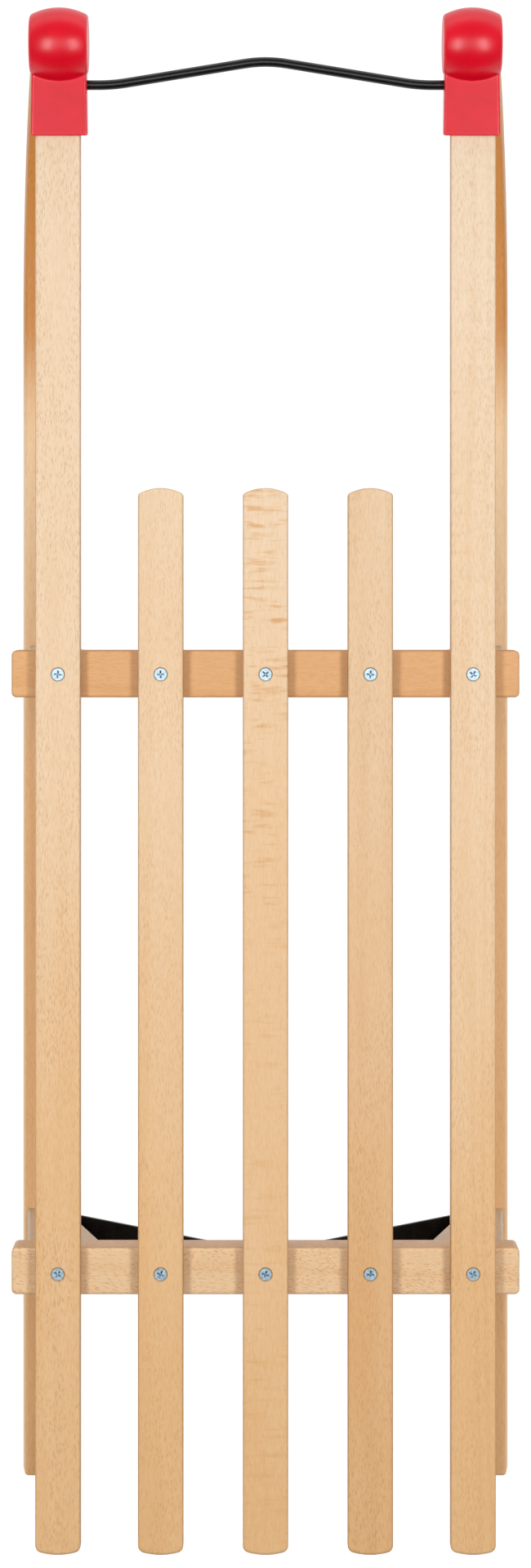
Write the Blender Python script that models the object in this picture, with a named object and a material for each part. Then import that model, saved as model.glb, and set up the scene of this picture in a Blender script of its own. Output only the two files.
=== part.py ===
"""A wooden sledge: two bowed runners with steel soles, four tapered legs, two crossbars under
five seat slats, bent steel braces, and moulded horn caps that carry a bent steel tow bar.

+X is the sledge's right, +Y its front and +Z up, and the origin is on the ground under its
middle. Lengths are in metres. A station is a distance forward from the slats' rear ends.
"""

import math
from collections import namedtuple
from functools import partial

import bmesh
import bpy
from mathutils import Vector

MM = 0.001
GAP = 0.3 * MM
OVERALL_LENGTH = 1095 * MM
SIDES = {"left": -1, "right": 1}

# Heights, stacked up from the ground.
SOLE_HEIGHT = 3 * MM
RUNNER_THICKNESS = 25 * MM
LEG_HEIGHT = 133 * MM
CROSSBAR_HEIGHT = 34 * MM
SLAT_THICKNESS = 12.5 * MM
RUNNER_BOTTOM = SOLE_HEIGHT
RUNNER_TOP = RUNNER_BOTTOM + RUNNER_THICKNESS
CROSSBAR_BOTTOM = RUNNER_TOP + LEG_HEIGHT
SLAT_BOTTOM = CROSSBAR_BOTTOM + CROSSBAR_HEIGHT
SLAT_TOP = SLAT_BOTTOM + SLAT_THICKNESS

# Runners lean inwards as they rise, and bow up through two arcs into the horn caps.
LEAN = math.tan(math.radians(7))
RUNNER_X = 168.4 * MM
RUNNER_WIDTH = 32 * MM
RUNNER_CORNER = 3 * MM
RUNNER_REAR = 13.5 * MM
LOWER_RADIUS = 235 * MM
LOWER_TURN = math.radians(55)
UPPER_RADIUS = 100 * MM
RUNNER_END_TURN = math.radians(122)
BOW_REACH = LOWER_RADIUS * math.sin(LOWER_TURN) + UPPER_RADIUS * (1 - math.sin(LOWER_TURN))
BOW_START = OVERALL_LENGTH - BOW_REACH

SOLE_WIDTH = 26 * MM
SOLE_CORNER = 0.8 * MM
SOLE_REAR = RUNNER_REAR + 2.5 * MM
SOLE_END_TURN = math.radians(72)

CROSSBARS = {"rear": 198.2 * MM, "front": 621.5 * MM}
CROSSBAR_LENGTH = 360 * MM
CROSSBAR_DEPTH = 33.3 * MM
CROSSBAR_CORNER = 3.5 * MM

LEG_TOP_DEPTH = 30 * MM
LEG_FOOT_DEPTH = 34 * MM
LEG_CORNER = 2 * MM
LEG_TOP_X = 144.2 * MM
LEG_TOP_WIDTH = 53 * MM
LEG_FOOT_X = 164.9 * MM
LEG_FOOT_WIDTH = 27.8 * MM
TENON_DEPTH = 18 * MM
UPPER_TENON_WIDTH = 36 * MM
UPPER_TENON_HEIGHT = 15 * MM
LOWER_TENON_WIDTH = 18 * MM
LOWER_TENON_HEIGHT = 12 * MM

SLAT_WIDTH = 32 * MM
OUTER_SLAT_X = 146.5 * MM
INNER_SLAT_X = 74 * MM
INNER_SLAT_LENGTH = 753 * MM
OUTER_SLAT_LENGTH = 1030 * MM
SLAT_FRONT_RADIUS = 32 * MM
SLAT_FRONT_CORNER = 2.5 * MM
SLAT_REAR_RADIUS = 47 * MM
SLAT_REAR_CORNER = 5 * MM
WOOD_EDGE = 2 * MM

CAP_X = 145.6 * MM
CAP_WALL = 4 * MM
SLEEVE_REAR = 1001.1 * MM
SLEEVE_SLANT = 3 * MM
SLEEVE_REAR_WIDTH = 39.9 * MM
SLEEVE_FRONT_WIDTH = 38.2 * MM
SLEEVE_CORNER = 1.2 * MM
KNOB_STATION = 1065.9 * MM
KNOB_WIDTH = 41.3 * MM
KNOB_RADIUS = 25.9 * MM
KNOB_CROWN = 5.4 * MM
KNOB_EDGE = 3 * MM
KNOB_SIDES = 28
SKIRT_WIDTH = 39 * MM
SKIRT_WALL = 3.5 * MM
SKIRT_SETBACK = 4 * MM
SKIRT_SPAN = KNOB_WIDTH - 0.8 * MM
SKIRT_START_TURN = math.radians(98)
SKIRT_END_TURN = math.radians(118)

BAR_RADIUS = 3.5 * MM
BAR_STATION = 1038 * MM
BAR_HEIGHT = 201 * MM
BAR_SIDES = 12
BAR_BOW = 16.4 * MM
BAR_APEX_HALF = 15 * MM
BAR_BEND_START = 98 * MM
BAR_BEND_END = 118 * MM
BAR_HALF_LENGTH = 149 * MM
BORE_OVERSHOOT = 10 * MM

BRACE_WIDTH = 27 * MM
BRACE_THICKNESS = 3 * MM
BRACE_FLAT_HALF = 30.5 * MM
BRACE_BEND_HEIGHT = 30 * MM
BRACE_TAB_BOTTOM = 4.5 * MM
BRACE_BEND_RADIUS = 5 * MM
BRACE_CORNER = 4 * MM

CORNER_STEPS = 2
ARC_STEPS = 6
SCREW_SIDES = 10

# head is the radius of the head, shank that of the thread, and length includes a sunk head.
Screw = namedtuple("Screw", "sunk head head_height shank length")
SLAT_SCREW = Screw(True, 4.5 * MM, 2.8 * MM, 1.9 * MM, 30 * MM)
SOLE_SCREW = Screw(True, 3.4 * MM, 2.1 * MM, 1.5 * MM, 16 * MM)
BRACE_SCREW = Screw(False, 3.8 * MM, 2.2 * MM, 1.75 * MM, 16 * MM)
CAP_SCREW = Screw(False, 3.4 * MM, 2 * MM, 1.5 * MM, 14 * MM)
TIP_LENGTH = 4 * MM
TIP_RADIUS = 0.4 * MM
HEAD_RIM = 0.4 * MM
SUNK_BELOW = 0.15 * MM
DOME_TOP = 0.4
DRILL_OVERSHOOT = 5 * MM

SOLE_SCREW_STATIONS = (45 * MM, 400 * MM, 800 * MM)
SOLE_SCREW_TURN = math.radians(58)
BRACE_SCREW_X = 18 * MM
BRACE_SCREW_HEIGHT = 9.5 * MM
SLEEVE_SCREW_STATION = 1016 * MM
SKIRT_SCREW_TURN = math.radians(104)

# Colour, roughness and metallic value of each finish.
Finish = namedtuple("Finish", "colour roughness metallic")
FINISHES = {
    "beech_slat": Finish((0.82, 0.63, 0.42), 0.5, 0.0),
    "beech_frame": Finish((0.70, 0.44, 0.22), 0.5, 0.0),
    "red_plastic": Finish((0.75, 0.03, 0.06), 0.35, 0.0),
    "black_steel": Finish((0.02, 0.02, 0.02), 0.4, 0.6),
    "bright_steel": Finish((0.55, 0.56, 0.58), 0.35, 1.0),
    "zinc": Finish((0.62, 0.68, 0.74), 0.3, 1.0),
}


# ---------------------------------------------------------------------------- drawing helpers


def y_at(station):
    """The Y place of a station."""
    return station - OVERALL_LENGTH / 2


def arc(centre, radius, start, end, steps):
    """Points on an arc between two angles, both ends included."""
    turns = [start + (end - start) * step / steps for step in range(steps + 1)]
    return [(centre[0] + radius * math.cos(t), centre[1] + radius * math.sin(t)) for t in turns]


def rounded_rectangle(width, height, radius, steps=CORNER_STEPS):
    """A rectangle about the origin, counter-clockwise, with rounded corners."""
    reach_x = width / 2 - radius
    reach_y = height / 2 - radius
    outline = []
    for quarter, (sign_x, sign_y) in enumerate(((1, 1), (-1, 1), (-1, -1), (1, -1))):
        start = quarter * math.pi / 2
        centre = (sign_x * reach_x, sign_y * reach_y)
        outline += arc(centre, radius, start, start + math.pi / 2, steps)
    return outline


def circle(radius, sides):
    """A regular ring of points about the origin."""
    return arc((0, 0), radius, 0, 2 * math.pi * (sides - 1) / sides, sides - 1)


def loft(rings):
    """Skin a row of rings that have equal numbers of points, and close both ends."""
    bm = bmesh.new()
    rows = [[bm.verts.new(point) for point in ring] for ring in rings]
    for row, beyond in zip(rows, rows[1:]):
        for index in range(len(row)):
            after = (index + 1) % len(row)
            bm.faces.new((row[index], row[after], beyond[after], beyond[index]))
    bm.faces.new(rows[0])
    bm.faces.new(rows[-1])
    bmesh.ops.recalc_face_normals(bm, faces=bm.faces)
    return bm


def slab(outline, bottom, top):
    """A flat outline in plan, made solid between two heights."""
    return loft([[(x, y, height) for x, y in outline] for height in (bottom, top)])


def lathe(profile, sides):
    """A solid of revolution about Z, from (height, radius) pairs."""
    return loft([[(x, y, height) for x, y in circle(radius, sides)] for height, radius in profile])


def box(width, depth, height):
    """A box about the origin, for cutting."""
    x = width / 2
    y = depth / 2
    return slab([(x, y), (-x, y), (-x, -y), (x, -y)], -height / 2, height / 2)


# ---------------------------------------------------------------------------- object helpers


def clear_scene():
    for old in list(bpy.data.objects):
        bpy.data.objects.remove(old, do_unlink=True)


def finish_material(name):
    """The finish's material, made on first use."""
    material = bpy.data.materials.get(name)
    if material:
        return material
    finish = FINISHES[name]
    material = bpy.data.materials.new(name)
    material.use_nodes = True
    shader = material.node_tree.nodes["Principled BSDF"]
    shader.inputs["Base Color"].default_value = (*finish.colour, 1)
    shader.inputs["Roughness"].default_value = finish.roughness
    shader.inputs["Metallic"].default_value = finish.metallic
    material.diffuse_color = (*finish.colour, 1)
    return material


def mesh_from(bm, name):
    """Turn a bmesh into a mesh whose shallow edges are shaded smooth."""
    mesh = bpy.data.meshes.new(name)
    bm.to_mesh(mesh)
    bm.free()
    mesh.shade_smooth()
    mesh.set_sharp_from_angle(angle=math.radians(40))
    return mesh


def place(name, mesh, location, rotation=None):
    """Add an object that holds a mesh, under the sledge's empty."""
    thing = bpy.data.objects.new(name, mesh)
    bpy.context.scene.collection.objects.link(thing)
    thing.parent = bpy.data.objects["sledge"]
    thing.location = location
    if rotation:
        thing.rotation_mode = "QUATERNION"
        thing.rotation_quaternion = rotation
    return thing


def add_piece(name, bm, finish, location=(0, 0, 0)):
    """Add one sub-part of the sledge."""
    mesh = mesh_from(bm, name)
    mesh.materials.append(finish_material(finish))
    return place(name, mesh, location)


def add_helper(name, bm, location=(0, 0, 0), rotation=None):
    """Add a solid that only cuts or joins."""
    helper = place(name, mesh_from(bm, name), location, rotation)
    helper.hide_render = True
    helper.display_type = "WIRE"
    return helper


def combine(piece, helper, operation="DIFFERENCE"):
    """Cut a helper out of a piece, or join it on."""
    modifier = piece.modifiers.new(helper.name, "BOOLEAN")
    modifier.operation = operation
    modifier.solver = "EXACT"
    modifier.object = helper


def ease_edges(piece, width):
    """Round the piece's square edges over."""
    bevel = piece.modifiers.new("eased_edges", "BEVEL")
    bevel.width = width
    bevel.segments = 2
    bevel.limit_method = "ANGLE"
    bevel.angle_limit = math.radians(60)


# ---------------------------------------------------------------------------- runners and soles


def flat_point(station, inset):
    """Station and height of a point on the runner's straight part, inset from its ground edge."""
    return station, RUNNER_BOTTOM + inset


def bow_point(turn, inset):
    """The same on the bow, where the runner has turned up by an angle."""
    lower = turn <= LOWER_TURN
    bend_centre = Vector((BOW_START, RUNNER_BOTTOM + LOWER_RADIUS))
    if not lower:
        shift = LOWER_RADIUS - UPPER_RADIUS
        bend_centre += Vector((math.sin(LOWER_TURN), -math.cos(LOWER_TURN))) * shift
    reach = (LOWER_RADIUS if lower else UPPER_RADIUS) - inset
    return bend_centre.x + reach * math.sin(turn), bend_centre.y - reach * math.cos(turn)


def bow_sections(start, end, steps):
    """Sections of the bow between two angles, as functions of the inset."""
    return [partial(bow_point, start + (end - start) * step / steps) for step in range(steps + 1)]


def runner_sections(rear, end_turn):
    """Sections from the runner's rear end to an angle on its bow."""
    lower_end = min(LOWER_TURN, end_turn)
    sections = [partial(flat_point, rear)] + bow_sections(0, lower_end, 8)
    if end_turn > LOWER_TURN:
        steps = math.ceil(math.degrees(end_turn - LOWER_TURN) / 8)
        sections += bow_sections(LOWER_TURN, end_turn, steps)[1:]
    return sections


def leaning(side, across, station, height):
    """A point near the runner, whose middle leans inwards as it rises."""
    middle = RUNNER_X - LEAN * (height - RUNNER_BOTTOM)
    return side * (middle + across), y_at(station), height


def runner_strip(side, sections, width, inner, outer, corner):
    """Sweep a rounded rectangle along the runner, between two insets from its ground edge."""
    outline = rounded_rectangle(width, outer - inner, corner)
    middle = (inner + outer) / 2
    return loft(
        [
            [leaning(side, across, *section(middle + depth)) for across, depth in outline]
            for section in sections
        ]
    )


def add_runner(name, side):
    sections = runner_sections(RUNNER_REAR, RUNNER_END_TURN)
    bm = runner_strip(side, sections, RUNNER_WIDTH, 0, RUNNER_THICKNESS, RUNNER_CORNER)
    runner = add_piece(f"runner_{name}", bm, "beech_frame")
    ease_edges(runner, WOOD_EDGE)


def add_sole(name, side):
    """The steel strip under the runner, which follows it part of the way up the bow."""
    sections = runner_sections(SOLE_REAR, SOLE_END_TURN)
    bm = runner_strip(side, sections, SOLE_WIDTH, -SOLE_HEIGHT, -GAP, SOLE_CORNER)
    add_piece(f"runner_sole_{name}", bm, "bright_steel")


# ---------------------------------------------------------------------------- legs and crossbars


def add_crossbar(name, station):
    outline = rounded_rectangle(CROSSBAR_LENGTH, CROSSBAR_DEPTH, CROSSBAR_CORNER, 3)
    bm = slab(outline, 0, CROSSBAR_HEIGHT - GAP)
    bar = add_piece(f"crossbar_{name}", bm, "beech_frame", (0, y_at(station), CROSSBAR_BOTTOM))
    ease_edges(bar, WOOD_EDGE)


def leg_ring(x, width, depth, corner, height):
    outline = rounded_rectangle(width, depth, corner)
    return [(x + across, along, height) for across, along in outline]


def add_leg(end, station, name, side):
    """A leg that widens upwards, with a tenon at each end, and the mortises that take them."""
    top_x = side * LEG_TOP_X
    foot_x = side * LEG_FOOT_X
    foot = RUNNER_TOP + GAP
    top = CROSSBAR_BOTTOM - GAP
    lower_tenon = (foot_x, LOWER_TENON_WIDTH, TENON_DEPTH, LEG_CORNER)
    upper_tenon = (top_x, UPPER_TENON_WIDTH, TENON_DEPTH, LEG_CORNER)
    foot_size = (foot_x, LEG_FOOT_WIDTH, LEG_FOOT_DEPTH, LEG_CORNER)
    top_size = (top_x, LEG_TOP_WIDTH, LEG_TOP_DEPTH, LEG_CORNER)
    rings = [
        leg_ring(*lower_tenon, RUNNER_TOP - LOWER_TENON_HEIGHT + GAP),
        leg_ring(*lower_tenon, foot),
        leg_ring(*foot_size, foot),
        leg_ring(*top_size, top),
        leg_ring(*upper_tenon, top),
        leg_ring(*upper_tenon, CROSSBAR_BOTTOM + UPPER_TENON_HEIGHT - GAP),
    ]
    leg_name = f"leg_{end}_{name}"
    add_piece(leg_name, loft(rings), "beech_frame", (0, y_at(station), 0))
    cut_mortise(f"{leg_name}_foot", f"runner_{name}", foot_x, station, LOWER_TENON_WIDTH,
                RUNNER_TOP, LOWER_TENON_HEIGHT)
    cut_mortise(f"{leg_name}_top", f"crossbar_{end}", top_x, station, UPPER_TENON_WIDTH,
                CROSSBAR_BOTTOM, UPPER_TENON_HEIGHT)


def cut_mortise(label, host, x, station, width, face_height, tenon_height):
    """Cut a slot that reaches as far past the host's face as it goes in."""
    bm = box(width + 2 * GAP, TENON_DEPTH + 2 * GAP, 2 * tenon_height)
    cutter = add_helper(f"mortise_{label}", bm, (x, y_at(station), face_height))
    combine(bpy.data.objects[host], cutter)


# ---------------------------------------------------------------------------- slats


def crowned_end(radius, corner, sign):
    """Half of a slat's outline: an end that bulges as an arc, with rounded corners.

    The end's tip is at the origin, and the points run from the slat's +X edge to its -X edge
    for sign 1, and back again for sign -1.
    """
    half = SLAT_WIDTH / 2
    corner_x = half - corner
    corner_y = math.sqrt((radius - corner) ** 2 - corner_x ** 2) - radius
    meeting = math.atan2(corner_y + radius, corner_x)
    points = arc((corner_x, corner_y), corner, 0, meeting, 3)
    points += arc((0, -radius), radius, meeting, math.pi - meeting, ARC_STEPS)[1:-1]
    points += arc((-corner_x, corner_y), corner, math.pi - meeting, math.pi, 3)
    return [(sign * x, sign * y) for x, y in points]


def slat_mesh(length, name):
    """A slat with crowned ends, its rear tip at the origin and its underside at height 0."""
    front = crowned_end(SLAT_FRONT_RADIUS, SLAT_FRONT_CORNER, 1)
    rear = crowned_end(SLAT_REAR_RADIUS, SLAT_REAR_CORNER, -1)
    outline = [(x, y + length) for x, y in front] + rear
    mesh = mesh_from(slab(outline, 0, SLAT_THICKNESS), name)
    mesh.materials.append(finish_material("beech_slat"))
    return mesh


def add_slats():
    outer = slat_mesh(OUTER_SLAT_LENGTH, "outer_slat")
    inner = slat_mesh(INNER_SLAT_LENGTH, "inner_slat")
    layout = [("slat_centre", inner, 0)]
    for name, side in SIDES.items():
        layout.append((f"slat_outer_{name}", outer, side * OUTER_SLAT_X))
        layout.append((f"slat_inner_{name}", inner, side * INNER_SLAT_X))
    for name, mesh, x in layout:
        slat = place(name, mesh, (x, y_at(0), SLAT_BOTTOM))
        ease_edges(slat, WOOD_EDGE)


# ---------------------------------------------------------------------------- horn caps


def sleeve(side):
    """The cap's rear end, which tapers a little and runs forward into the knob.

    Its rear face slants, so that the sleeve is longest along its top.
    """
    middle_height = (SLAT_BOTTOM + SLAT_TOP) / 2
    height = SLAT_THICKNESS + 2 * CAP_WALL
    ends = (
        (SLEEVE_REAR, SLEEVE_REAR_WIDTH, SLEEVE_SLANT),
        (KNOB_STATION, SLEEVE_FRONT_WIDTH, 0),
    )
    rings = []
    for station, width, slant in ends:
        ring = []
        for x, z in rounded_rectangle(width, height, SLEEVE_CORNER):
            y = y_at(station) + slant * (0.5 - z / height)
            ring.append((side * CAP_X + x, y, middle_height + z))
        rings.append(ring)
    return loft(rings)


def knob():
    """A barrel about Z: crowned along its length, with rounded rims."""
    half = KNOB_WIDTH / 2
    crown_radius = (half ** 2 + KNOB_CROWN ** 2) / (2 * KNOB_CROWN)
    crown_centre = KNOB_RADIUS - crown_radius
    rim_height = half - KNOB_EDGE
    rim_radius = crown_centre + math.sqrt((crown_radius - KNOB_EDGE) ** 2 - rim_height ** 2)
    meeting = math.atan2(rim_height, rim_radius - crown_centre)
    upper_rim = arc((rim_radius, rim_height), KNOB_EDGE, meeting, math.pi / 2, 3)
    crown = arc((crown_centre, 0), crown_radius, -meeting, meeting, 8)
    lower_rim = [(radius, -height) for radius, height in reversed(upper_rim)]
    profile = lower_rim + crown[1:-1] + upper_rim
    return lathe([(height, radius) for radius, height in profile], KNOB_SIDES)


def add_cap(name, side):
    """The moulded horn cap: a sleeve for the slat, a knob, and a skirt over the runner's end.

    The skirt leans with the runner, and is trimmed where it would stand out past the knob.
    """
    cap = add_piece(f"horn_cap_{name}", sleeve(side), "red_plastic")
    sideways = Vector((1, 0, 0)).to_track_quat("Z", "Y")
    knob_place = (side * CAP_X, y_at(KNOB_STATION), SLAT_TOP)
    inner = RUNNER_THICKNESS + SKIRT_WALL
    skirt = bow_sections(SKIRT_START_TURN, SKIRT_END_TURN, 4)
    skirt_bm = runner_strip(side, skirt, SKIRT_WIDTH, SKIRT_SETBACK, inner, SLEEVE_CORNER)
    skirt_helper = add_helper(f"skirt_{name}", skirt_bm)
    span = add_helper(f"skirt_span_{name}", box(SKIRT_SPAN, 1, 1), (side * CAP_X, 0, 0))
    combine(skirt_helper, span, "INTERSECT")
    combine(cap, add_helper(f"knob_{name}", knob(), knob_place, sideways), "UNION")
    combine(cap, skirt_helper, "UNION")
    cut_cap(cap, name, side, sideways)


def rod(radius, length):
    """A plain round bar about Z and the origin."""
    return lathe([(-length / 2, radius), (length / 2, radius)], 2 * BAR_SIDES)


def cut_cap(cap, name, side, sideways):
    """Cut the sockets for the slat and the runner, and the blind bore for the tow bar."""
    slat_socket = box(SLAT_WIDTH + 2 * GAP, 2 * (OUTER_SLAT_LENGTH + GAP - SLEEVE_REAR),
                      SLAT_THICKNESS + 2 * GAP)
    slat_place = (side * OUTER_SLAT_X, y_at(SLEEVE_REAR), (SLAT_BOTTOM + SLAT_TOP) / 2)
    past_end = RUNNER_END_TURN + GAP / UPPER_RADIUS * 1.5
    runner_socket = runner_strip(side, bow_sections(math.radians(88), past_end, 5),
                                 RUNNER_WIDTH + 2 * GAP, -GAP, RUNNER_THICKNESS + GAP,
                                 RUNNER_CORNER)
    bore_mouth = CAP_X - KNOB_WIDTH / 2 - BORE_OVERSHOOT
    bore_end = BAR_HALF_LENGTH + GAP
    bore_place = (side * (bore_mouth + bore_end) / 2, y_at(BAR_STATION), BAR_HEIGHT)
    cutters = (
        add_helper(f"slat_socket_{name}", slat_socket, slat_place),
        add_helper(f"runner_socket_{name}", runner_socket),
        add_helper(f"bar_bore_{name}", rod(BAR_RADIUS + GAP, bore_end - bore_mouth), bore_place,
                   sideways),
    )
    for cutter in cutters:
        combine(cap, cutter)


# ---------------------------------------------------------------------------- tow bar and braces


def bar_bow(x):
    """How far forward of its ends the tow bar lies: two slopes, rounded where they meet."""
    slope_half = (BAR_BEND_START + BAR_BEND_END - BAR_APEX_HALF) / 2
    slope = BAR_BOW / slope_half
    x = abs(x)
    if x >= BAR_BEND_END:
        return 0
    if x >= BAR_BEND_START:
        return slope * (BAR_BEND_END - x) ** 2 / (2 * (BAR_BEND_END - BAR_BEND_START))
    if x >= BAR_APEX_HALF:
        return slope * ((BAR_BEND_START + BAR_BEND_END) / 2 - x)
    return BAR_BOW - slope * x ** 2 / (2 * BAR_APEX_HALF)


def bar_places():
    """Places across the sledge where the tow bar has a section: close together in its bends."""
    apex = [BAR_APEX_HALF * step / 3 for step in range(4)]
    bend = [BAR_BEND_START + (BAR_BEND_END - BAR_BEND_START) * step / 4 for step in range(5)]
    half = apex + bend + [BAR_HALF_LENGTH]
    return [-x for x in reversed(half[1:])] + half


def add_tow_bar():
    rings = []
    for x in bar_places():
        small = 0.1 * MM
        slope = math.atan2(bar_bow(x + small) - bar_bow(x - small), 2 * small)
        ring = []
        for along, up in circle(BAR_RADIUS, BAR_SIDES):
            ring.append((x - along * math.sin(slope), bar_bow(x) + along * math.cos(slope), up))
        rings.append(ring)
    add_piece("tow_bar", loft(rings), "black_steel", (0, y_at(BAR_STATION), BAR_HEIGHT))


def brace_centreline():
    """Half of the brace as (x, z), from the middle of the sledge down to the runner's face."""
    flat = CROSSBAR_BOTTOM - GAP - BRACE_THICKNESS / 2
    tab_face = RUNNER_X - RUNNER_WIDTH / 2 - GAP - BRACE_THICKNESS / 2
    tab_x = {z: tab_face - LEAN * (z - RUNNER_BOTTOM) for z in (BRACE_BEND_HEIGHT, BRACE_TAB_BOTTOM)}
    corners = [
        Vector((0, flat)),
        Vector((BRACE_FLAT_HALF, flat)),
        Vector((tab_x[BRACE_BEND_HEIGHT], BRACE_BEND_HEIGHT)),
        Vector((tab_x[BRACE_TAB_BOTTOM], BRACE_TAB_BOTTOM)),
    ]
    return [corners[0]] + bend_at(*corners[:3]) + bend_at(*corners[1:]) + [corners[3]]


def bend_at(before, corner, after):
    """Replace a sharp corner by a smooth bend that starts and ends the same distance from it."""
    start = corner + (before - corner).normalized() * BRACE_BEND_RADIUS
    end = corner + (after - corner).normalized() * BRACE_BEND_RADIUS
    steps = [step / 3 for step in range(4)]
    return [start.lerp(corner, t).lerp(corner.lerp(end, t), t) for t in steps]


def offset_line(line, distance):
    """A line moved sideways, each point along the mean normal of its neighbours."""
    moved = []
    for index, point in enumerate(line):
        ahead = line[min(index + 1, len(line) - 1)]
        behind = line[max(index - 1, 0)]
        direction = (ahead - behind).normalized()
        moved.append(point + Vector((-direction.y, direction.x)) * distance)
    return moved


def add_brace(end, station):
    """A flat steel bar under the crossbar, bent down to both runners, with rounded ends."""
    right = brace_centreline()
    line = [Vector((-point.x, point.y)) for point in reversed(right[1:])] + right
    half = BRACE_THICKNESS / 2
    outline = offset_line(line, half) + offset_line(line, -half)[::-1]
    rings = [[(point.x, y, point.y) for point in outline] for y in (-BRACE_WIDTH / 2, BRACE_WIDTH / 2)]
    bm = loft(rings)
    lowest = min(vertex.co.z for vertex in bm.verts)
    corners = [
        edge for edge in bm.edges
        if all(v.co.z < lowest + BRACE_THICKNESS for v in edge.verts)
        and abs(edge.verts[0].co.y - edge.verts[1].co.y) < GAP
    ]
    bmesh.ops.bevel(bm, geom=corners, offset=BRACE_CORNER, segments=3, profile=0.5,
                    affect="EDGES", clamp_overlap=True)
    add_piece(f"brace_{end}", bm, "black_steel", (0, y_at(station), 0))


# ---------------------------------------------------------------------------- screws


def thread_profile(kind, allowance):
    """The tip and the thread's far end, widened by an allowance."""
    return [
        (-kind.length - allowance, TIP_RADIUS + allowance),
        (-kind.length + TIP_LENGTH, kind.shank + allowance),
    ]


def sunk_head(kind, allowance, top):
    """A cone that opens to the head's rim, and a short cylinder from there to a height."""
    return [
        (-kind.head_height - SUNK_BELOW, kind.shank + allowance),
        (-HEAD_RIM - SUNK_BELOW, kind.head + allowance),
        (top, kind.head + allowance),
    ]


def screw_profile(kind):
    """A screw about Z that points down, its seat at height 0."""
    if kind.sunk:
        return thread_profile(kind, 0) + sunk_head(kind, 0, -SUNK_BELOW)
    dome = []
    for turn in (0, math.pi / 4, math.pi / 2):
        radius = kind.head * (DOME_TOP + (1 - DOME_TOP) * math.cos(turn))
        dome.append((GAP + kind.head_height * math.sin(turn), radius))
    return thread_profile(kind, 0) + [(GAP, kind.shank)] + dome


def hole_profile(kind):
    """The hole that a screw goes into, cut past the surface it starts from."""
    if kind.sunk:
        return thread_profile(kind, GAP) + sunk_head(kind, GAP, DRILL_OVERSHOOT)
    return thread_profile(kind, GAP) + [(DRILL_OVERSHOOT, kind.shank + GAP)]


def drive_screw(name, kind, seat, outward, hosts):
    """Put a screw in, its head's face towards outward, and drill its hole through its hosts."""
    rotation = Vector(outward).to_track_quat("Z", "Y")
    mesh = bpy.data.meshes.get(kind_name(kind))
    if not mesh:
        mesh = mesh_from(lathe(screw_profile(kind), SCREW_SIDES), kind_name(kind))
        mesh.materials.append(finish_material("zinc"))
    place(name, mesh, seat, rotation)
    hole = lathe(hole_profile(kind), SCREW_SIDES)
    drill = add_helper(f"drill_{name}", hole, seat, rotation)
    for host in hosts:
        combine(bpy.data.objects[host], drill)


def kind_name(kind):
    """A mesh name for a kind of screw, from its size in millimetres."""
    return f"screw_{2 * kind.shank / MM:.1f}x{kind.length / MM:.0f}"


def add_slat_screws():
    slats = ("slat_outer_left", "slat_inner_left", "slat_centre", "slat_inner_right",
             "slat_outer_right")
    for end, station in CROSSBARS.items():
        for number, slat in enumerate(slats, start=1):
            seat = (bpy.data.objects[slat].location.x, y_at(station), SLAT_TOP)
            hosts = (slat, f"crossbar_{end}")
            drive_screw(f"slat_screw_{end}_{number}", SLAT_SCREW, seat, (0, 0, 1), hosts)


def add_brace_screws(end, station):
    """Two screws up into the crossbar, and one out into each runner."""
    underside = CROSSBAR_BOTTOM - GAP - BRACE_THICKNESS
    tab_face = RUNNER_X - RUNNER_WIDTH / 2 - GAP - BRACE_THICKNESS
    tab_x = tab_face - LEAN * (BRACE_SCREW_HEIGHT - RUNNER_BOTTOM)
    for name, side in SIDES.items():
        seat = (side * BRACE_SCREW_X, y_at(station), underside)
        hosts = (f"brace_{end}", f"crossbar_{end}")
        drive_screw(f"brace_screw_{end}_{name}", BRACE_SCREW, seat, (0, 0, -1), hosts)
        seat = (side * tab_x, y_at(station), BRACE_SCREW_HEIGHT)
        hosts = (f"brace_{end}", f"runner_{name}")
        drive_screw(f"tab_screw_{end}_{name}", BRACE_SCREW, seat, (-side, 0, -LEAN), hosts)


def add_sole_screws(name, side):
    """Sunk screws up through the sole: a row on the straight part and one on the bow."""
    seats = [(flat_point(station, -SOLE_HEIGHT), 0) for station in SOLE_SCREW_STATIONS]
    seats.append((bow_point(SOLE_SCREW_TURN, -SOLE_HEIGHT), SOLE_SCREW_TURN))
    hosts = (f"runner_sole_{name}", f"runner_{name}")
    for number, ((station, height), turn) in enumerate(seats, start=1):
        seat = leaning(side, 0, station, height)
        outward = (0, math.sin(turn), -math.cos(turn))
        drive_screw(f"sole_screw_{name}_{number}", SOLE_SCREW, seat, outward, hosts)


def add_cap_screws(name, side):
    """One screw up through the sleeve into the slat, and one through the skirt into the runner."""
    cap = f"horn_cap_{name}"
    seat = (side * OUTER_SLAT_X, y_at(SLEEVE_SCREW_STATION), SLAT_BOTTOM - CAP_WALL)
    drive_screw(f"cap_screw_slat_{name}", CAP_SCREW, seat, (0, 0, -1), (cap, f"slat_outer_{name}"))
    inset = RUNNER_THICKNESS + SKIRT_WALL
    seat = leaning(side, 0, *bow_point(SKIRT_SCREW_TURN, inset))
    outward = (0, -math.sin(SKIRT_SCREW_TURN), math.cos(SKIRT_SCREW_TURN))
    drive_screw(f"cap_screw_runner_{name}", CAP_SCREW, seat, outward, (cap, f"runner_{name}"))


# ---------------------------------------------------------------------------- the sledge


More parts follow.
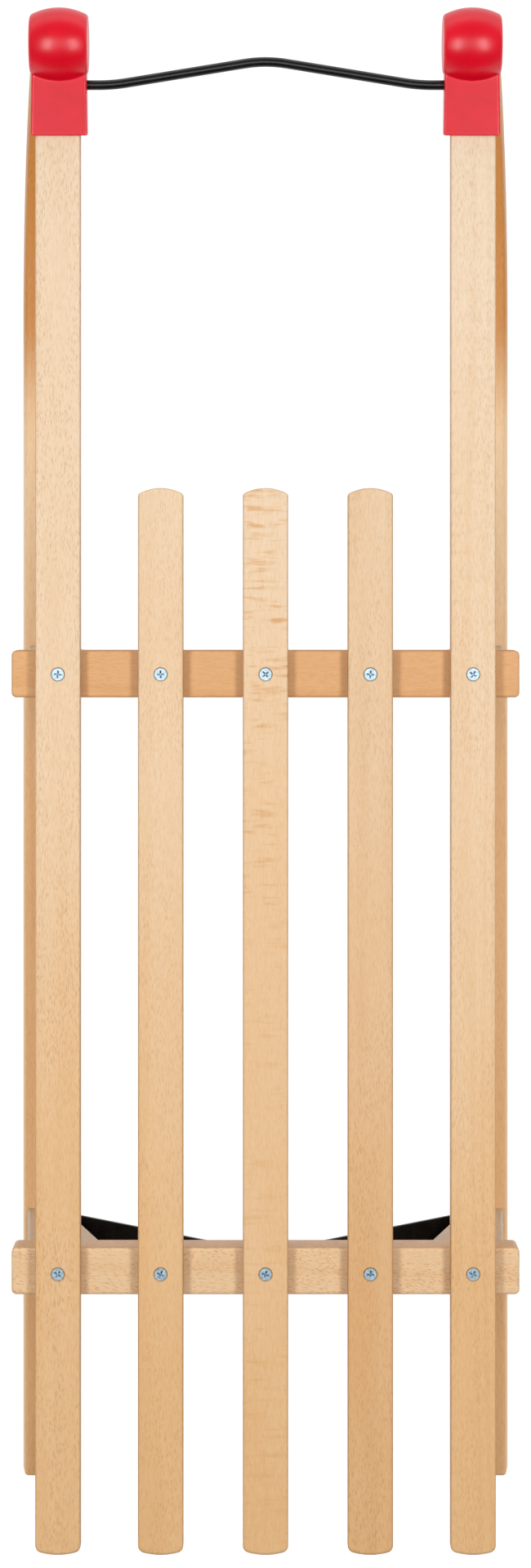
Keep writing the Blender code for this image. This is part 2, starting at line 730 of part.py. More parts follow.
def main():
    clear_scene()
    root = bpy.data.objects.new("sledge", None)
    bpy.context.scene.collection.objects.link(root)
    for name, side in SIDES.items():
        add_runner(name, side)
        add_sole(name, side)
    for end, station in CROSSBARS.items():
        add_crossbar(end, station)
        for name, side in SIDES.items():
            add_leg(end, station, name, side)
        add_brace(end, station)
    add_slats()
    for name, side in SIDES.items():
        add_cap(name, side)
    add_tow_bar()
    add_slat_screws()
    for end, station in CROSSBARS.items():
        add_brace_screws(end, station)
    for name, side in SIDES.items():
        add_sole_screws(name, side)
        add_cap_screws(name, side)


main()
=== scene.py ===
import math
import random
from collections import defaultdict, namedtuple
from functools import cache, partial

import bmesh
import bpy
from mathutils import Matrix, Vector


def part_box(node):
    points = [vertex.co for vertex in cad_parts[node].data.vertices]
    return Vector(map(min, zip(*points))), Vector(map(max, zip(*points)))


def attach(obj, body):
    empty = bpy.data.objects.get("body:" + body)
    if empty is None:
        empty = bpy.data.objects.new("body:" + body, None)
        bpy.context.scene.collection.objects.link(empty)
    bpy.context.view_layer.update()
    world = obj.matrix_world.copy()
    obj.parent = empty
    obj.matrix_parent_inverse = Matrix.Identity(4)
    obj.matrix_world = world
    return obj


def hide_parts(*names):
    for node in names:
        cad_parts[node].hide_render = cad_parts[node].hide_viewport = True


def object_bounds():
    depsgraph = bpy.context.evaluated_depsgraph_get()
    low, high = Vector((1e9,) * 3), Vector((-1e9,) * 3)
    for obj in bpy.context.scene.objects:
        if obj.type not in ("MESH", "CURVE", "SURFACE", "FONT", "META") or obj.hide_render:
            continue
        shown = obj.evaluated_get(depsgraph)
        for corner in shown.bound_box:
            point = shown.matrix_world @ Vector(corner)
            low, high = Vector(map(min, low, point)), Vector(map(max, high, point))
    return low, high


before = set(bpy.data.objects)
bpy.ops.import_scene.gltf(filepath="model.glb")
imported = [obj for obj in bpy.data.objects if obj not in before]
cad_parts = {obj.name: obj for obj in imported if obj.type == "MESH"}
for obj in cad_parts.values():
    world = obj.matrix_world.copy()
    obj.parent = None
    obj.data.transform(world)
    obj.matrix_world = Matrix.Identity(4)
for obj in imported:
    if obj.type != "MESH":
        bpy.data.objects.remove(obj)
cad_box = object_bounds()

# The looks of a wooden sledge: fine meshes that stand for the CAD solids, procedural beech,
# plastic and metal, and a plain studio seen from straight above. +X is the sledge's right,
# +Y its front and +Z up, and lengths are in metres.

MM = 0.001
GAP = 0.3 * MM
SIDES = {"left": -1, "right": 1}
ENDS = ("rear", "front")
SEED = 5
chance = random.Random(SEED)

# Roundings and ends that a node's box doesn't give.
EDGE_RADIUS = 2 * MM
EDGE_STEPS = 4
CORNER_STEPS = 5
FLAT_MARGIN = 0.4 * MM
SMOOTH_BELOW = math.radians(35)
CROWN_STEPS = 16
SLAT_FRONT_RADIUS = 32 * MM
SLAT_FRONT_CORNER = 2.5 * MM
SLAT_REAR_RADIUS = 47 * MM
SLAT_REAR_CORNER = 5 * MM
CROSSBAR_CORNER = 3.5 * MM

# Runners lean inwards as they rise, and bow up through two arcs into the horn caps.
LEAN = math.tan(math.radians(7))
RUNNER_WIDTH = 32 * MM
RUNNER_THICKNESS = 25 * MM
RUNNER_CORNER = 3 * MM
RUNNER_END_TURN = math.radians(122)
LOWER_RADIUS = 235 * MM
LOWER_TURN = math.radians(55)
UPPER_RADIUS = 100 * MM
BOW_REACH = LOWER_RADIUS * math.sin(LOWER_TURN) + UPPER_RADIUS * (1 - math.sin(LOWER_TURN))
BOW_STEP = math.radians(3)
SOLE_THICKNESS = 3 * MM
SOLE_WIDTH = 26 * MM
SOLE_CORNER = 0.8 * MM
SOLE_END_TURN = math.radians(72)

LEG_CORNER = 2 * MM
LEG_TOP_DEPTH = 30 * MM
LEG_TOP_WIDTH = 53 * MM
LEG_FOOT_WIDTH = 27.8 * MM
TENON_DEPTH = 18 * MM
UPPER_TENON_WIDTH = 36 * MM
LOWER_TENON_WIDTH = 18 * MM

CAP_WALL = 4 * MM
SLEEVE_REAR_WIDTH = 39.9 * MM
SLEEVE_FRONT_WIDTH = 38.2 * MM
SLEEVE_CORNER = 1.2 * MM
SLEEVE_SLANT = 3 * MM
KNOB_WIDTH = 41.3 * MM
KNOB_RADIUS = 25.9 * MM
KNOB_CROWN = 5.4 * MM
KNOB_EDGE = 3 * MM
SOCKET_START_TURN = math.radians(88)
SOCKET_SLACK = 1.5
KNOB_SIDES = 96
KNOB_CROWN_STEPS = 20
KNOB_EDGE_STEPS = 6
CAP_GRAIN = 0.6 * MM
CAP_SMOOTHING = 5
CAP_SMOOTH_SHARE = 0.5

BAR_RADIUS = 3.5 * MM
BAR_APEX_HALF = 15 * MM
BAR_BEND_START = 98 * MM
BAR_BEND_END = 118 * MM
BAR_APEX_STEPS = 6
BAR_BEND_STEPS = 8
BAR_SIDES = 28
BAR_EDGE = 0.8 * MM
BAR_NUDGE = 0.1 * MM
BORE_SIDES = 48
BORE_OVERSHOOT = 10 * MM

BRACE_THICKNESS = 3 * MM
BRACE_FLAT_HALF = 30.5 * MM
BRACE_BEND_HEIGHT = 30 * MM
TAB_BOTTOM = 4.5 * MM
BRACE_BEND_REACH = 5 * MM
BRACE_BEND_STEPS = 8
BRACE_CORNER = 4 * MM
BRACE_EDGE = 0.6 * MM

# A screw's head is sunk or domed. head and shank are radii, and length includes a sunk head.
Screw = namedtuple("Screw", "sunk head head_height shank length")
SLAT_SCREW = Screw(True, 4.5 * MM, 2.8 * MM, 1.9 * MM, 30 * MM)
SOLE_SCREW = Screw(True, 3.4 * MM, 2.1 * MM, 1.5 * MM, 16 * MM)
BRACE_SCREW = Screw(False, 3.8 * MM, 2.2 * MM, 1.75 * MM, 16 * MM)
CAP_SCREW = Screw(False, 3.4 * MM, 2 * MM, 1.5 * MM, 14 * MM)
SCREW_SIDES = 24
HEAD_RIM = 0.4 * MM
SUNK_BELOW = 0.15 * MM
HOLE_FLARE = 0.35 * MM
DOME_TOP = 0.4
DOME_STEPS = 8
TIP_LENGTH = 4 * MM
TIP_RADIUS = 0.4 * MM
THREAD_PITCH = 2 * MM
THREAD_STEPS = 6
THREAD_DEPTH = 0.45 * MM
NECK = 0.8
DRILL_OVERSHOOT = 5 * MM

# A cross recess, in shares of the head's radius and height.
RECESS_ARM = 0.6
RECESS_HALF_WIDTH = 0.13
RECESS_DEPTH = 0.5
RECESS_TAPER = 0.7

SOLE_SCREW_PLACES = (-502.5 * MM, -147.5 * MM, 252.5 * MM)
SOLE_SCREW_TURN = math.radians(58)
BRACE_SCREW_X = 18 * MM
BRACE_SCREW_HEIGHT = 9.5 * MM
SLEEVE_SCREW_Y = 468.5 * MM
RUNNER_SCREW_TURN = math.radians(104)
RUNNER_SCREW_STANDOFF = 3.5 * MM


# ---- frame


def middle(node):
    low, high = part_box(node)
    return (low + high) / 2


FRONT_Y = cad_box[1].y
RUNNER_LOW, RUNNER_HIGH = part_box("runner_right")
RUNNER_BOTTOM = RUNNER_LOW.z
RUNNER_TOP = RUNNER_BOTTOM + RUNNER_THICKNESS
RUNNER_X = RUNNER_HIGH.x - RUNNER_WIDTH / 2
BOW_START = FRONT_Y - BOW_REACH
SLAT_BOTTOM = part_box("slat_centre")[0].z
SLAT_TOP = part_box("slat_centre")[1].z
CROSSBAR_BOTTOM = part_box("crossbar_front")[0].z


# ---- drawing helpers


def arc(centre, radius, start, end, steps):
    """Points on an arc between two angles, both ends included."""
    turns = [start + (end - start) * step / steps for step in range(steps + 1)]
    return [(centre[0] + radius * math.cos(t), centre[1] + radius * math.sin(t)) for t in turns]


def rounded_rectangle(width, height, radius, steps=CORNER_STEPS):
    """A rectangle about the origin, counter-clockwise, with rounded corners.

    A point just outside each end of a corner's arc keeps the shading of the sides flat.
    """
    outline = []
    for quarter, (sign_x, sign_y) in enumerate(((1, 1), (-1, 1), (-1, -1), (1, -1))):
        centre = (sign_x * (width / 2 - radius), sign_y * (height / 2 - radius))
        start = quarter * math.pi / 2
        corner = arc(centre, radius, start, start + math.pi / 2, steps)
        along = (-math.sin(start) * FLAT_MARGIN, math.cos(start) * FLAT_MARGIN)
        before = (corner[0][0] - along[0], corner[0][1] - along[1])
        after = (corner[-1][0] - along[1], corner[-1][1] + along[0])
        outline += [before] + corner + [after]
    return outline


def circle(radius, sides):
    """A regular ring of points about the origin."""
    return arc((0, 0), radius, 0, 2 * math.pi * (sides - 1) / sides, sides - 1)


def loft(rings):
    """Skin a row of rings that have equal numbers of points, and close both ends."""
    bm = bmesh.new()
    rows = [[bm.verts.new(point) for point in ring] for ring in rings]
    for row, beyond in zip(rows, rows[1:]):
        for index in range(len(row)):
            after = (index + 1) % len(row)
            bm.faces.new((row[index], row[after], beyond[after], beyond[index]))
    bm.faces.new(rows[0])
    bm.faces.new(rows[-1])
    bmesh.ops.recalc_face_normals(bm, faces=bm.faces)
    return bm


def lathe(profile, sides):
    """A solid of revolution about Z, from (height, radius) pairs."""
    return loft([[(x, y, height) for x, y in circle(radius, sides)] for height, radius in profile])


def box(width, depth, height):
    """A box about the origin, for cutting."""
    x = width / 2
    y = depth / 2
    corners = ((x, y), (-x, y), (-x, -y), (x, -y))
    return loft([[(*corner, z) for corner in corners] for z in (-height / 2, height / 2)])


def rim(radius):
    """Steps of a rounded-over rim as (inset, distance from the end), from the end inwards."""
    steps = [(radius + FLAT_MARGIN, 0)]
    for step in range(EDGE_STEPS + 1):
        turn = math.pi / 2 * step / EDGE_STEPS
        steps.append((radius * (1 - math.sin(turn)), radius * (1 - math.cos(turn))))
    return steps


def rolled_slab(outline_at, bottom, top):
    """A slab whose outline comes from an inset, with both of its rims rounded over."""
    rims = [(inset, bottom + rise) for inset, rise in rim(EDGE_RADIUS)]
    rims += [(inset, top - drop) for inset, drop in reversed(rim(EDGE_RADIUS))]
    return loft([[(x, y, height) for x, y in outline_at(inset)] for inset, height in rims])


# ---- object helpers


def mesh_from(bm, name, matrix=None):
    """Turn mesh code into a mesh, put in place by a matrix if there is one."""
    mesh = bpy.data.meshes.new(name)
    bm.to_mesh(mesh)
    bm.free()
    if matrix:
        mesh.transform(matrix)
    return mesh


def place(name, mesh):
    """Add an object whose mesh is already in place."""
    thing = bpy.data.objects.new(name, mesh)
    bpy.context.scene.collection.objects.link(thing)
    return thing


def taken_from(helper):
    """A helper object's mesh, without the object."""
    mesh = helper.data
    bpy.data.objects.remove(helper)
    return mesh


def turned_to(location, outward):
    """A matrix that puts a mesh's origin at a place and its +Z along a direction."""
    rotation = Vector(outward).to_track_quat("Z", "Y").to_matrix().to_4x4()
    return Matrix.Translation(location) @ rotation


def apply_modifiers(piece):
    """Replace a piece's mesh by what its modifiers make of it."""
    evaluated = piece.evaluated_get(bpy.context.evaluated_depsgraph_get())
    mesh = bpy.data.meshes.new_from_object(evaluated)
    piece.modifiers.clear()
    piece.data = mesh


def combine(piece, meshes, operation):
    """Join meshes onto a piece, or cut them out of it."""
    helpers = [place("helper", mesh) for mesh in meshes]
    for helper in helpers:
        modifier = piece.modifiers.new(helper.name, "BOOLEAN")
        modifier.operation = operation
        modifier.solver = "EXACT"
        modifier.object = helper
    apply_modifiers(piece)
    for helper in helpers:
        bpy.data.objects.remove(helper)


def cut(piece, meshes):
    combine(piece, meshes, "DIFFERENCE")


def finish_piece(piece, node, material):
    """Shade a piece, give it its material, and let it stand for its CAD node."""
    mesh = piece.data
    mesh.name = piece.name
    mesh.shade_smooth()
    mesh.set_sharp_from_angle(angle=SMOOTH_BELOW)
    mesh.materials.clear()
    mesh.materials.append(material)
    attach(piece, "root")
    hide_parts(node)


# ---- shader helpers


def srgb(red, green, blue):
    """A colour given as on a screen, from 0 to 255, as linear light."""
    shares = [value / 255 for value in (red, green, blue)]
    linear = [s / 12.92 if s <= 0.04045 else ((s + 0.055) / 1.055) ** 2.4 for s in shares]
    return (*linear, 1)


class Nodes:
    """A node tree. Its calls, except feed, add nodes and give back one of their outputs."""

    def __init__(self, tree):
        self.tree = tree

    def feed(self, socket, value):
        if isinstance(value, bpy.types.NodeSocket):
            self.tree.links.new(value, socket)
        else:
            socket.default_value = value

    def add(self, kind, inputs, output=0, **settings):
        node = self.tree.nodes.new(f"ShaderNode{kind}")
        for name, value in settings.items():
            setattr(node, name, value)
        for key, value in inputs.items():
            self.feed(node.inputs[key], value)
        return node.outputs[output]

    def math(self, operation, first, second=0.0, **settings):
        return self.add("Math", {0: first, 1: second}, operation=operation, **settings)

    def scaled(self, vector, factors):
        return self.add("VectorMath", {0: vector, 1: factors}, operation="MULTIPLY")

    def moved(self, vector, offset):
        return self.add("VectorMath", {0: vector, 1: offset}, operation="ADD")

    def noise(self, vector, detail=2.0, roughness=0.5, output=0):
        inputs = {"Vector": vector, "Scale": 1.0, "Detail": detail, "Roughness": roughness}
        return self.add("TexNoise", inputs, output)

    def spots(self, vector):
        """Distance from the nearest of many scattered points."""
        return self.add("TexVoronoi", {"Vector": vector, "Scale": 1.0}, "Distance")

    def ramp(self, value, start, end, low=0.0, high=1.0):
        """A value turned smoothly from low, before start, into high, beyond end."""
        inputs = {"Value": value, "From Min": start, "From Max": end, "To Min": low, "To Max": high}
        return self.add("MapRange", inputs, interpolation_type="SMOOTHSTEP")

    def mix(self, factor, first, second, blend="MIX"):
        inputs = {0: factor, 6: first, 7: second}
        return self.add("Mix", inputs, 2, data_type="RGBA", blend_type=blend)

    def tint(self, factor, colour, shade):
        """A colour multiplied by a shade, as far as a factor says."""
        return self.mix(factor, colour, shade, "MULTIPLY")

    def bump(self, height, distance, strength=1.0):
        inputs = {"Height": height, "Distance": distance, "Strength": strength}
        return self.add("Bump", inputs)


class Shader(Nodes):
    """A material's node tree."""

    def __init__(self, name):
        self.material = bpy.data.materials.new(name)
        self.material.use_nodes = True
        super().__init__(self.material.node_tree)

    def set_surface(self, values):
        for name, value in values.items():
            self.feed(self.tree.nodes["Principled BSDF"].inputs[name], value)


# Spans of a noise that a ramp is drawn over, for a clear contrast and for a gentle one.
CLEAR = (0.3, 0.7)
GENTLE = (0.2, 0.8)


# ---- wood


# A fleck's width and length are those of the cell it lies in, and slant is how far it leans.
Fleck = namedtuple("Fleck", "width length slant tint")
FINE_FLECK = Fleck(1.0 * MM, 6 * MM, 0.0, srgb(232, 221, 208))
RUSTY_FLECK = Fleck(1.1 * MM, 4.2 * MM, 0.1, srgb(236, 210, 188))

# front and rear are a board's colours at the sledge's two ends. A slat's paler front is partly its
# wood's tone and partly painted sheen from the light in front, and a runner's darker front is painted
# shade on its steep bow. flecks, figure, rings and edges are how strongly its flecks, cross figure,
# growth rings and painted shade on its sides show. The last field is how strongly a pale band of
# painted sheen shows on a runner behind the bow.
Board = namedtuple("Board", "front rear fleck flecks figure rings edges band", defaults=[0.0])
# The slats' front colours are paler than their wood partly by painted sheen from the light in front.
PALE = srgb(233, 211, 184)
CREAM = srgb(228, 204, 174)
HONEY = srgb(224, 182, 132)
TAN = srgb(218, 172, 120)
AMBER = srgb(218, 168, 116)
SAND = srgb(229, 184, 134)
# Painted shade: the runner's darker orange over its steep bow, which faces away from the light.
BOW_SHADE_ORANGE = srgb(200, 136, 66)
STRAW = srgb(228, 196, 156)
# Painted sheen: a pale band on the runners just behind the bow, where the varnish catches the side
# light.
RUNNER_SHEEN_TINT = srgb(234, 203, 164)
# Painted shade: the legs' greyish colour is that of their faces as they lie in shade.
LEG_SHADE_TONE = srgb(182, 158, 132)
BAND_RISE = (-20 * MM, 210 * MM)
BAND_FALL = (230 * MM, 350 * MM)
# Where, along the length, a runner's colour turns into the painted shade of its bow.
BOW_SPAN = (180 * MM, 340 * MM)
RING_TINT = srgb(247, 238, 224)
FIBRE_TINT = srgb(250, 242, 230)
FIGURE_TINT = srgb(238, 214, 180)
FIGURE_FADE = (-140 * MM, 80 * MM)
FIGURE_REAR_SHARE = 0.3
# Painted shade: the tint that darkens board faces turned to the side.
SIDE_SHADE_TINT = srgb(202, 184, 168)
SPAN = (cad_box[0].y, cad_box[1].y)
WOOD_GLOSS = 0.3
WOOD_ROUGHNESS = (0.4, 0.52)
WOOD_BUMP = 0.05 * MM

# Patterns in the wood. A scale is in cycles per metre across the grain, along it and in depth, and
# a span holds the values of a noise, a wave or a distance that a ramp is drawn over. The ramp of a
# patch is its span and its lowest value.
BROAD_SCALE = (14, 3, 14)
BROAD_SWING = 0.12
SWAY_SCALE = (120, 45, 120)
FIBRE_SCALE = (1000, 130, 1000)
FIBRE_SWAY = (3.5, 0, 3.5)
FIBRE_ROUGHNESS = 0.6
FIBRE_SPAN = (0.35, 0.75)
RING_SCALE = (25, 1.6, 25)
RING_WARP = 12 * MM
RING_WIDTH = 3.2 * MM
RING_SPAN = (-0.4, 1.0)
FLECK_SWAY_SCALE = (110, 70, 110)
FLECK_SWAY = (4.0, 1.5, 4.0)
FLECK_SPAN = (0.5, 0.1)
FLECK_PATCH_SCALE = (60, 9, 60)
FLECK_PATCH_RAMP = (0.35, 0.6, 0.35)
FIGURE_SCALE = (1 / (20 * MM), 1 / (3.4 * MM), 1 / (20 * MM))
FIGURE_SPAN = (0.49, 0.74)
FIGURE_PATCH_SCALE = (70, 12, 70)
FIGURE_PATCH_RAMP = (0.38, 0.6, 0.2)
# Painted shade: how level a face is where the side tint starts, and where it is full.
SIDE_SHADE_SPAN = (0.95, 0.3)

BOARDS = {
    "slat_outer_left": Board(PALE, HONEY, FINE_FLECK, 1.0, 0.0, 0.2, 0.8),
    "slat_inner_left": Board(PALE, HONEY, FINE_FLECK, 0.7, 0.0, 0.3, 0.8),
    "slat_centre": Board(PALE, HONEY, FINE_FLECK, 0.2, 1.0, 0.1, 0.8),
    "slat_inner_right": Board(CREAM, TAN, FINE_FLECK, 0.8, 0.0, 0.3, 0.8),
    "slat_outer_right": Board(PALE, HONEY, FINE_FLECK, 0.7, 0.2, 0.3, 0.8),
    "crossbar_front": Board(AMBER, AMBER, FINE_FLECK, 0.3, 0.0, 0.5, 0.8),
    "crossbar_rear": Board(STRAW, STRAW, RUSTY_FLECK, 1.0, 0.1, 0.4, 0.8),
}
# Painted shade: the runner's front colour, over its bow, is darkened for the shade there.
RUNNER_BOARD = Board(BOW_SHADE_ORANGE, SAND, FINE_FLECK, 0.5, 0.0, 0.4, 0.0, 1.0)
# Painted shade: the legs are coloured as their faces look in shade.
LEG_BOARD = Board(LEG_SHADE_TONE, LEG_SHADE_TONE, FINE_FLECK, 0.5, 0.0, 0.4, 0.0)


def swayed_grain(wood, grain):
    """The grain's coordinates, scaled to fine fibres that wander from side to side."""
    sway = wood.noise(wood.scaled(grain, SWAY_SCALE), output="Color")
    return wood.moved(wood.scaled(grain, FIBRE_SCALE), wood.scaled(sway, FIBRE_SWAY))


def growth_rings(wood, grain):
    """Growth rings about the pith, which runs along the grain's origin."""
    warp = wood.noise(wood.scaled(grain, RING_SCALE), 3.0)
    radius = wood.add("VectorMath", {0: wood.scaled(grain, (1, 0, 1))}, "Value", operation="LENGTH")
    bent = wood.math("ADD", radius, wood.math("MULTIPLY", warp, RING_WARP))
    wave = wood.math("SINE", wood.math("MULTIPLY", bent, 2 * math.pi / RING_WIDTH))
    return wood.ramp(wave, *RING_SPAN)


def ray_flecks(wood, grain, fleck):
    """Short dashes along the grain, which wander a little and come and go in patches."""
    along = wood.add("SeparateXYZ", {0: grain}, "Y")
    lean = wood.add("CombineXYZ", {0: wood.math("MULTIPLY", along, fleck.slant)})
    sway = wood.noise(wood.scaled(grain, FLECK_SWAY_SCALE), output="Color")
    cells = (1 / fleck.width, 1 / fleck.length, 1 / fleck.width)
    swayed = wood.moved(wood.scaled(wood.moved(grain, lean), cells), wood.scaled(sway, FLECK_SWAY))
    dash = wood.ramp(wood.spots(swayed), *FLECK_SPAN)
    patch = wood.ramp(wood.noise(wood.scaled(grain, FLECK_PATCH_SCALE)), *FLECK_PATCH_RAMP)
    return wood.math("MULTIPLY", dash, patch)


def cross_figure(wood, grain):
    """Mottled bars across the grain, where the saw has run along the rays."""
    bars = wood.ramp(wood.noise(wood.scaled(grain, FIGURE_SCALE)), *FIGURE_SPAN)
    patch = wood.noise(wood.scaled(grain, FIGURE_PATCH_SCALE), 1.0)
    return wood.math("MULTIPLY", bars, wood.ramp(patch, *FIGURE_PATCH_RAMP))


def board_tone(wood, grain, forward, board):
    """A board's broad colour, which turns from its rear's into its front's: its wood's tone, with
    painted sheen in a slat's pale front and painted shade in a runner's darker bow.
    """
    broad = wood.ramp(wood.noise(wood.scaled(grain, BROAD_SCALE)), *CLEAR, -BROAD_SWING, BROAD_SWING)
    turn = wood.ramp(forward, *(BOW_SPAN if board.band else SPAN))
    colour = wood.mix(wood.math("ADD", turn, broad, use_clamp=True), board.rear, board.front)
    # Painted sheen: a pale band on the runner behind its bow.
    if board.band:
        rise = wood.ramp(forward, *BAND_RISE)
        band = wood.math("MULTIPLY", rise, wood.ramp(forward, *BAND_FALL, 1, 0))
        colour = wood.mix(wood.math("MULTIPLY", band, board.band), colour, RUNNER_SHEEN_TINT)
    return colour


def beech(name, board):
    """Varnished beech with broad tones that hold some painted sheen and shade, growth rings, fine
    fibres, ray flecks, cross figure and painted shade on faces turned to the side.
    """
    wood = Shader(f"beech_{name}")
    grain = wood.add("Attribute", {}, "Vector", attribute_name="grain")
    fibre = wood.noise(swayed_grain(wood, grain), 3.0, FIBRE_ROUGHNESS)
    flecks = ray_flecks(wood, grain, board.fleck)
    forward = wood.add("SeparateXYZ", {0: wood.add("TexCoord", {}, "Object")}, "Y")
    colour = board_tone(wood, grain, forward, board)
    rings = wood.math("MULTIPLY", growth_rings(wood, grain), board.rings)
    colour = wood.tint(rings, colour, RING_TINT)
    colour = wood.tint(wood.ramp(fibre, *FIBRE_SPAN), colour, FIBRE_TINT)
    colour = wood.tint(wood.math("MULTIPLY", flecks, board.flecks), colour, board.fleck.tint)
    if board.figure:
        shares = (FIGURE_REAR_SHARE * board.figure, board.figure)
        strength = wood.ramp(forward, *FIGURE_FADE, *shares)
        figure = wood.math("MULTIPLY", cross_figure(wood, grain), strength)
        colour = wood.tint(figure, colour, FIGURE_TINT)
    # Painted shade on the faces that turn to the side.
    if board.edges:
        colour = wood.tint(side_shade_tone(wood, board.edges), colour, SIDE_SHADE_TINT)
    wood.set_surface({
        "Base Color": colour,
        "Roughness": wood.ramp(fibre, *GENTLE, *WOOD_ROUGHNESS),
        "Specular IOR Level": WOOD_GLOSS,
        "Normal": wood.bump(wood.math("SUBTRACT", fibre, flecks), WOOD_BUMP),
    })
    return wood.material


def side_shade_tone(wood, strength):
    """How far a level board's surface has turned to the side, where it is darkened: painted shade for
    the dimmer light on its sides, and varnish that lies thicker there.
    """
    normal = wood.add("NewGeometry", {}, "Normal")
    upward = wood.math("ABSOLUTE", wood.add("SeparateXYZ", {0: normal}, "Z"))
    return wood.ramp(upward, *SIDE_SHADE_SPAN, 0.0, strength)


# ---- other finishes


# A pattern is noise. Its scale is in cycles per metre along X, Y and Z.
Pattern = namedtuple("Pattern", "scale detail span sharpness", defaults=[0.5])

# cloud is the broad pattern that mixes a finish's two tones, and skin the fine one behind its
# roughness and its bump.
Finish = namedtuple("Finish", "name dark light metallic gloss cloud skin roughness bump")
RED_PLASTIC = Finish(
    "red_plastic", srgb(213, 2, 31), srgb(222, 3, 36), metallic=0.0, gloss=0.45,
    cloud=Pattern((60, 60, 60), 3.0, CLEAR), skin=Pattern((1400, 1400, 1400), 2.0, GENTLE),
    roughness=(0.29, 0.36), bump=0.01 * MM)
BLACK_BAR = Finish(
    "black_bar", srgb(10, 10, 11), srgb(20, 20, 22), metallic=0.0, gloss=0.6,
    cloud=Pattern((90, 90, 90), 4.0, (0.4, 0.75)), skin=Pattern((700, 700, 700), 2.0, GENTLE),
    roughness=(0.2, 0.3), bump=0.01 * MM)
BLACK_BRACE = BLACK_BAR._replace(name="black_brace", gloss=0.12)
BRIGHT_STEEL = Finish(
    "bright_steel", srgb(160, 163, 168), srgb(196, 198, 202), metallic=1.0, gloss=0.5,
    cloud=Pattern((30, 12, 30), 3.0, CLEAR), skin=Pattern((1600, 12, 1600), 4.0, CLEAR, 0.7),
    roughness=(0.22, 0.48), bump=0.03 * MM)
ZINC = Finish(
    "zinc", srgb(148, 171, 185), srgb(184, 203, 213), metallic=1.0, gloss=0.5,
    cloud=Pattern((550, 550, 550), 2.0, CLEAR), skin=Pattern((550, 550, 550), 2.0, CLEAR),
    roughness=(0.42, 0.52), bump=0.008 * MM)


@cache
def finish_material(finish):
    """Plastic or metal whose tone clouds over, and whose skin is finely uneven."""
    shader = Shader(finish.name)
    position = shader.add("TexCoord", {}, "Object")
    cloud, skin = (
        shader.noise(shader.scaled(position, pattern.scale), pattern.detail, pattern.sharpness)
        for pattern in (finish.cloud, finish.skin))
    shader.set_surface({
        "Base Color": shader.mix(shader.ramp(cloud, *finish.cloud.span), finish.dark, finish.light),
        "Metallic": finish.metallic,
        "Roughness": shader.ramp(skin, *finish.skin.span, *finish.roughness),
        "Specular IOR Level": finish.gloss,
        "Normal": shader.bump(skin, finish.bump),
    })
    return shader.material


# ---- studio


FLOOR_SIZE = 40
FLOOR_TONE = srgb(96, 96, 97)
FLOOR_PALE = srgb(100, 100, 100)
FLOOR_GLOW = 0.96
FLOOR_CLOUD_SCALE = (3, 3, 3)
FLOOR_ROUGHNESS = 0.9
WHITE = (1, 1, 1, 1)
LIGHT_AIM = (0, 0, SLAT_TOP)
SIDE_BOX_PLACE = (1, 0.2, 2.3)
SIDE_BOX_SIZE = (1.3, 0.5)
SIDE_BOX_POWER = 26
TOP_BOX_PLACE = (0, 0.2, 3.3)
TOP_BOX_SIZE = (1.4, 1.6)
TOP_BOX_POWER = 11
HORIZON_LIGHT = 0.8
OVERHEAD_LIGHT = 0.08
HORIZON_HEIGHT = (0.05, 0.5)
FRONT_SHARE = (0.2, 2.4)
CAMERA_PLACE = (0, 0.1394, 2.8585)
CAMERA_SENSOR = 36
CAMERA_LENS = 86.29
CAMERA_SHIFT = -0.129


def add_floor():
    mesh = bpy.data.meshes.new("floor")
    half = FLOOR_SIZE / 2
    corners = [(-half, -half, 0), (half, -half, 0), (half, half, 0), (-half, half, 0)]
    mesh.from_pydata(corners, [], [(0, 1, 2, 3)])
    floor = place("studio_floor", mesh)
    paper = Shader("studio_paper")
    tone = paper.noise(paper.scaled(paper.add("TexCoord", {}, "Object"), FLOOR_CLOUD_SCALE))
    paper.set_surface({
        "Base Color": paper.mix(tone, FLOOR_TONE, FLOOR_PALE),
        "Roughness": FLOOR_ROUGHNESS,
        "Emission Color": WHITE,
        "Emission Strength": FLOOR_GLOW,
    })
    mesh.materials.append(paper.material)


def add_softbox(name, location, size, power):
    """A rectangular area light that faces the sledge's middle."""
    light = bpy.data.lights.new(name, "AREA")
    light.shape = "RECTANGLE"
    light.size, light.size_y = size
    light.energy = power
    thing = bpy.data.objects.new(name, light)
    bpy.context.scene.collection.objects.link(thing)
    thing.location = location
    thing.rotation_mode = "QUATERNION"
    thing.rotation_quaternion = (Vector(location) - Vector(LIGHT_AIM)).to_track_quat("Z", "Y")
    thing.visible_camera = False


def add_room():
    """Soft light from all round: pale near the horizon and most so in front, and dim overhead."""
    world = bpy.data.worlds.new("studio")
    world.use_nodes = True
    room = Nodes(world.node_tree)
    direction = room.add("TexCoord", {}, "Generated")
    forward = room.add("SeparateXYZ", {0: direction}, "Y")
    upward = room.add("SeparateXYZ", {0: direction}, "Z")
    height = room.ramp(upward, *HORIZON_HEIGHT, HORIZON_LIGHT, OVERHEAD_LIGHT)
    front = room.ramp(forward, -1, 1, *FRONT_SHARE)
    background = world.node_tree.nodes["Background"]
    room.feed(background.inputs["Strength"], room.math("MULTIPLY", height, front))
    room.feed(background.inputs["Color"], WHITE)
    bpy.context.scene.world = world


def add_studio():
    add_floor()
    add_room()
    x, y, height = SIDE_BOX_PLACE
    for name, side in SIDES.items():
        add_softbox(f"softbox_{name}", (side * x, y, height), SIDE_BOX_SIZE, SIDE_BOX_POWER)
    add_softbox("softbox_top", TOP_BOX_PLACE, TOP_BOX_SIZE, TOP_BOX_POWER)


